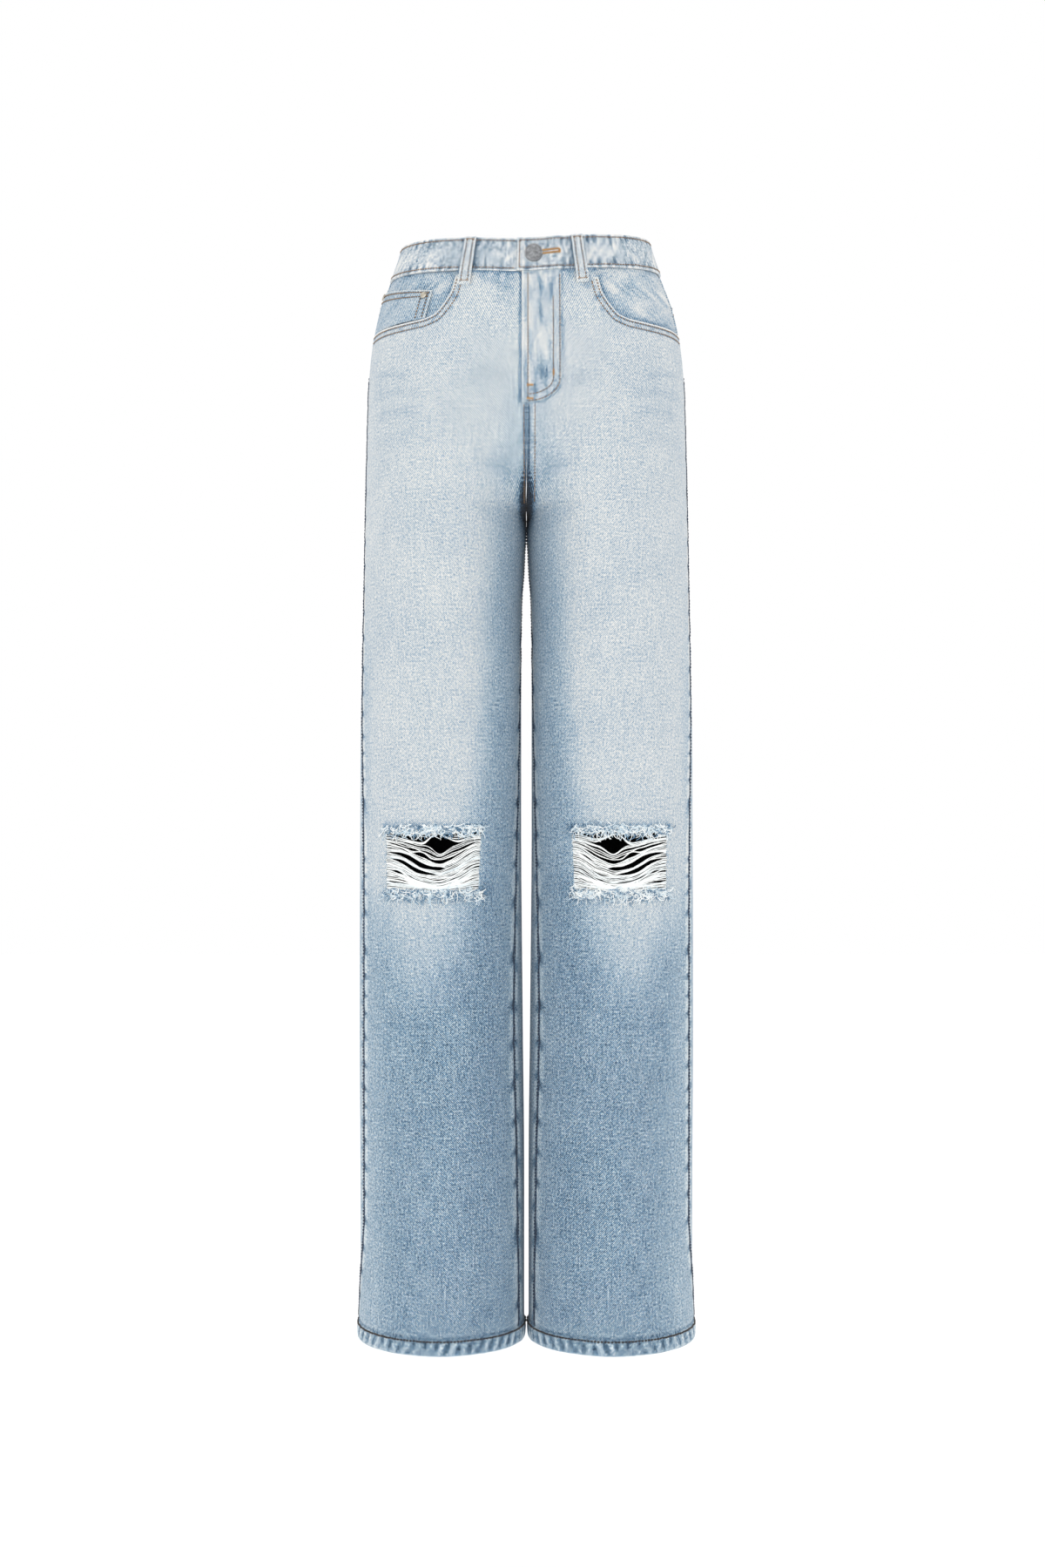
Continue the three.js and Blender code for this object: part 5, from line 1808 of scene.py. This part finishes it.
def zip_teeth():
    """Two meshed rows of teeth down the middle of the tape."""
    z = np.arange(-30, ZIP_BOTTOM + 3, -1.6)
    x = ZIP_CENTRE + 1.0 * np.where(np.arange(len(z)) % 2, 1, -1)
    point, normal = skin(1, distance_of_x(x, z), z)
    teeth = Stitches()
    teeth.bars(point - normal * (PANEL_WALL + 2.1), np.tile([1.0, 0, 0], (len(z), 1)), normal,
               3.6, 0.6)
    return teeth.piece("zip_teeth", finish_named("zip metal"))


# ------------------------------------------------------------------ sizes a user may change


class JeansCloth(bpy.types.PropertyGroup):
    """Weave and loose yarns."""

    pitch: FloatProperty(
        name="Twill pitch", description="Distance from line to line of the twill, in millimetres",
        default=2.05, min=0.5, max=6,
    )
    slope: FloatProperty(
        name="Twill slope", description="How steeply the twill climbs", default=1.0, min=0.2, max=3,
    )
    yarns: IntProperty(
        name="Yarns in a rip", description="Undyed yarns left across each rip",
        default=58, min=10, max=90,
    )
    fringe: IntProperty(
        name="Broken ends", description="Broken yarn ends along each edge of a rip",
        default=330, min=0, max=800,
    )


class JeansStage(bpy.types.PropertyGroup):
    """Camera, floor and light."""

    lens: FloatProperty(name="Lens", description="Focal length", default=44.7, unit="CAMERA")
    away: FloatProperty(
        name="Camera distance", description="From the jeans to the camera",
        default=1.9, unit="LENGTH",
    )
    eye: FloatProperty(
        name="Camera height", description="Measured from the waist", default=-0.488,
        unit="LENGTH",
    )
    aside: FloatProperty(
        name="Camera aside", description="How far the camera stands to one side",
        default=-0.0038, unit="LENGTH",
    )
    floor: FloatProperty(
        name="Floor height", description="Measured from the waist", default=-1.27, unit="LENGTH",
    )
    sky: FloatVectorProperty(
        name="Studio white", description="Colour of the light all round", subtype="COLOR",
        size=3, default=(1.0, 1.0, 1.0), min=0, max=1,
    )
    key: FloatProperty(
        name="Key light", description="Power of the broad light in front", default=6.0,
        unit="POWER",
    )


# ------------------------------------------------------------------ operators


class FrontPanels(bpy.types.Operator):
    """Make both front panels, with their rips cut out"""

    bl_idname = "jeans.front_panels"
    bl_label = "Front panels"

    def execute(self, context):
        for side, hand in HANDS.items():
            sewn(front_panel(side), [f"front_{hand}"])
        return {"FINISHED"}


class BackPanels(bpy.types.Operator):
    """Make both back panels and the yokes above them"""

    bl_idname = "jeans.back_panels"
    bl_label = "Back panels and yokes"

    def execute(self, context):
        for side, hand in HANDS.items():
            sewn(back_panel(side), [f"back_{hand}"])
            sewn(yoke(side), [f"yoke_{hand}"])
        return {"FINISHED"}


class Pockets(bpy.types.Operator):
    """Make the pocket backings, the coin pocket and the back pockets"""

    bl_idname = "jeans.pockets"
    bl_label = "Pockets"

    def execute(self, context):
        for side, hand in HANDS.items():
            backing = f"pocket_backing_{hand}"
            sewn(pocket_backing(side), [backing])
            sewn(back_pocket(side), [f"back_pocket_{hand}"])
        sewn(coin_pocket(), ["coin_pocket"])
        return {"FINISHED"}


class Waist(bpy.types.Operator):
    """Make the waistband and the belt loops over it"""

    bl_idname = "jeans.waist"
    bl_label = "Waistband and belt loops"

    def execute(self, context):
        sewn(waistband(), ["waistband"])
        for name, at in loop_places().items():
            piece = belt_loop(f"{name}_cloth", at)
            sewn(piece, [name])
        return {"FINISHED"}


class Fly(bpy.types.Operator):
    """Make the fly and the closed zip behind it"""

    bl_idname = "jeans.fly"
    bl_label = "Fly and zip tape"

    def execute(self, context):
        sewn(fly(), ["fly"])
        sewn(zip_tape(), ["zip_tape"])
        zip_teeth()
        return {"FINISHED"}


class Hardware(bpy.types.Operator):
    """Make the waist button, the coin pocket's rivets and the zip's slider"""

    bl_idname = "jeans.hardware"
    bl_label = "Button, rivets and slider"

    def execute(self, context):
        button = waist_button()
        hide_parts("button")
        for name, (across, height) in zip(("outer", "inner"), COIN_RIVETS):
            rivet = coin_rivet(f"rivet_{name}", across, height)
            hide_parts(f"coin_rivet_{name}")
        slide = zip_slide()
        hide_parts("zip_slider")
        return {"FINISHED"}


class Rips(bpy.types.Operator):
    """Lay the loose yarns across both rips and the broken ends along their edges"""

    bl_idname = "jeans.rips"
    bl_label = "Rips"

    def execute(self, context):
        for side in HANDS:
            for make in (rip_yarns, rip_fringe):
                make(side, context.scene.jeans_cloth)
        return {"FINISHED"}


class Stitching(bpy.types.Operator):
    """Sew the rows of stitches and the bartacks"""

    bl_idname = "jeans.stitching"
    bl_label = "Stitching"

    def execute(self, context):
        brown, orange, navy, dark = (Stitches() for _ in range(4))
        sew_waist(brown, orange)
        sew_fly(brown, orange, navy)
        sew_pockets(brown)
        sew_seams(brown, navy, dark)
        names = {"brown": brown, "orange": orange, "navy": navy, "hem": dark}
        for name, work in names.items():
            piece = work.piece(f"stitches_{name}", finish_named(f"{name} thread"))
        return {"FINISHED"}


class Stage(bpy.types.Operator):
    """Set up the white studio, its floor, lights and camera"""

    bl_idname = "jeans.stage"
    bl_label = "Stage"

    def execute(self, context):
        scene = context.scene
        sizes = scene.jeans_stage
        scene.view_settings.view_transform = "Standard"
        world = bpy.data.worlds.new("studio")
        world.use_nodes = True
        light = world.node_tree.nodes["Background"]
        light.inputs["Color"].default_value = (*sizes.sky, 1)
        light.inputs["Strength"].default_value = 1.0
        scene.world = world
        bpy.ops.mesh.primitive_plane_add(size=14, location=(0, 0, sizes.floor))
        floor = context.object
        floor.name = "floor"
        floor.data.materials.append(finish_named("floor paint"))
        for place, aim, size, share in (
            ((-1.3, -1.9, 0.9), (0, 0, -0.5), 1.6, 1.0), ((1.6, -1.7, 0.4), (0, 0, -0.6), 1.8, 0.5),
        ):
            bpy.ops.object.light_add(type="AREA", location=place)
            lamp = context.object
            lamp.data.size = size
            lamp.data.energy = sizes.key * share
            way = Vector(aim) - Vector(place)
            lamp.rotation_euler = way.to_track_quat("-Z", "Y").to_euler()
        bpy.ops.object.camera_add(
            location=(sizes.aside, -sizes.away, sizes.eye), rotation=(math.pi / 2, 0, 0),
        )
        camera = context.object
        camera.data.lens = sizes.lens
        scene.camera = camera
        return {"FINISHED"}


OPERATORS = (
    FrontPanels, BackPanels, Pockets, Waist, Fly, Hardware, Rips, Stitching, Stage,
)


class JeansPanel(bpy.types.Panel):
    """Buttons and sizes of the jeans in the sidebar."""

    bl_idname = "VIEW3D_PT_jeans"
    bl_label = "Ripped jeans"
    bl_space_type = "VIEW_3D"
    bl_region_type = "UI"
    bl_category = "Jeans"

    def draw(self, context):
        for group in (context.scene.jeans_cloth, context.scene.jeans_stage):
            for name in group.__annotations__:
                self.layout.prop(group, name)
        for operator in OPERATORS:
            self.layout.operator(operator.bl_idname)


CLASSES = (JeansCloth, JeansStage, *OPERATORS, JeansPanel)


def register():
    for item in CLASSES:
        bpy.utils.register_class(item)
    bpy.types.Scene.jeans_cloth = PointerProperty(type=JeansCloth)
    bpy.types.Scene.jeans_stage = PointerProperty(type=JeansStage)


def unregister():
    del bpy.types.Scene.jeans_cloth
    del bpy.types.Scene.jeans_stage
    for item in reversed(CLASSES):
        bpy.utils.unregister_class(item)


def main():
    register()
    bpy.ops.jeans.front_panels()
    bpy.ops.jeans.back_panels()
    bpy.ops.jeans.pockets()
    bpy.ops.jeans.waist()
    bpy.ops.jeans.fly()
    bpy.ops.jeans.hardware()
    bpy.ops.jeans.rips()
    bpy.ops.jeans.stitching()
    bpy.ops.jeans.stage()


if __name__ == "__main__":
    main()
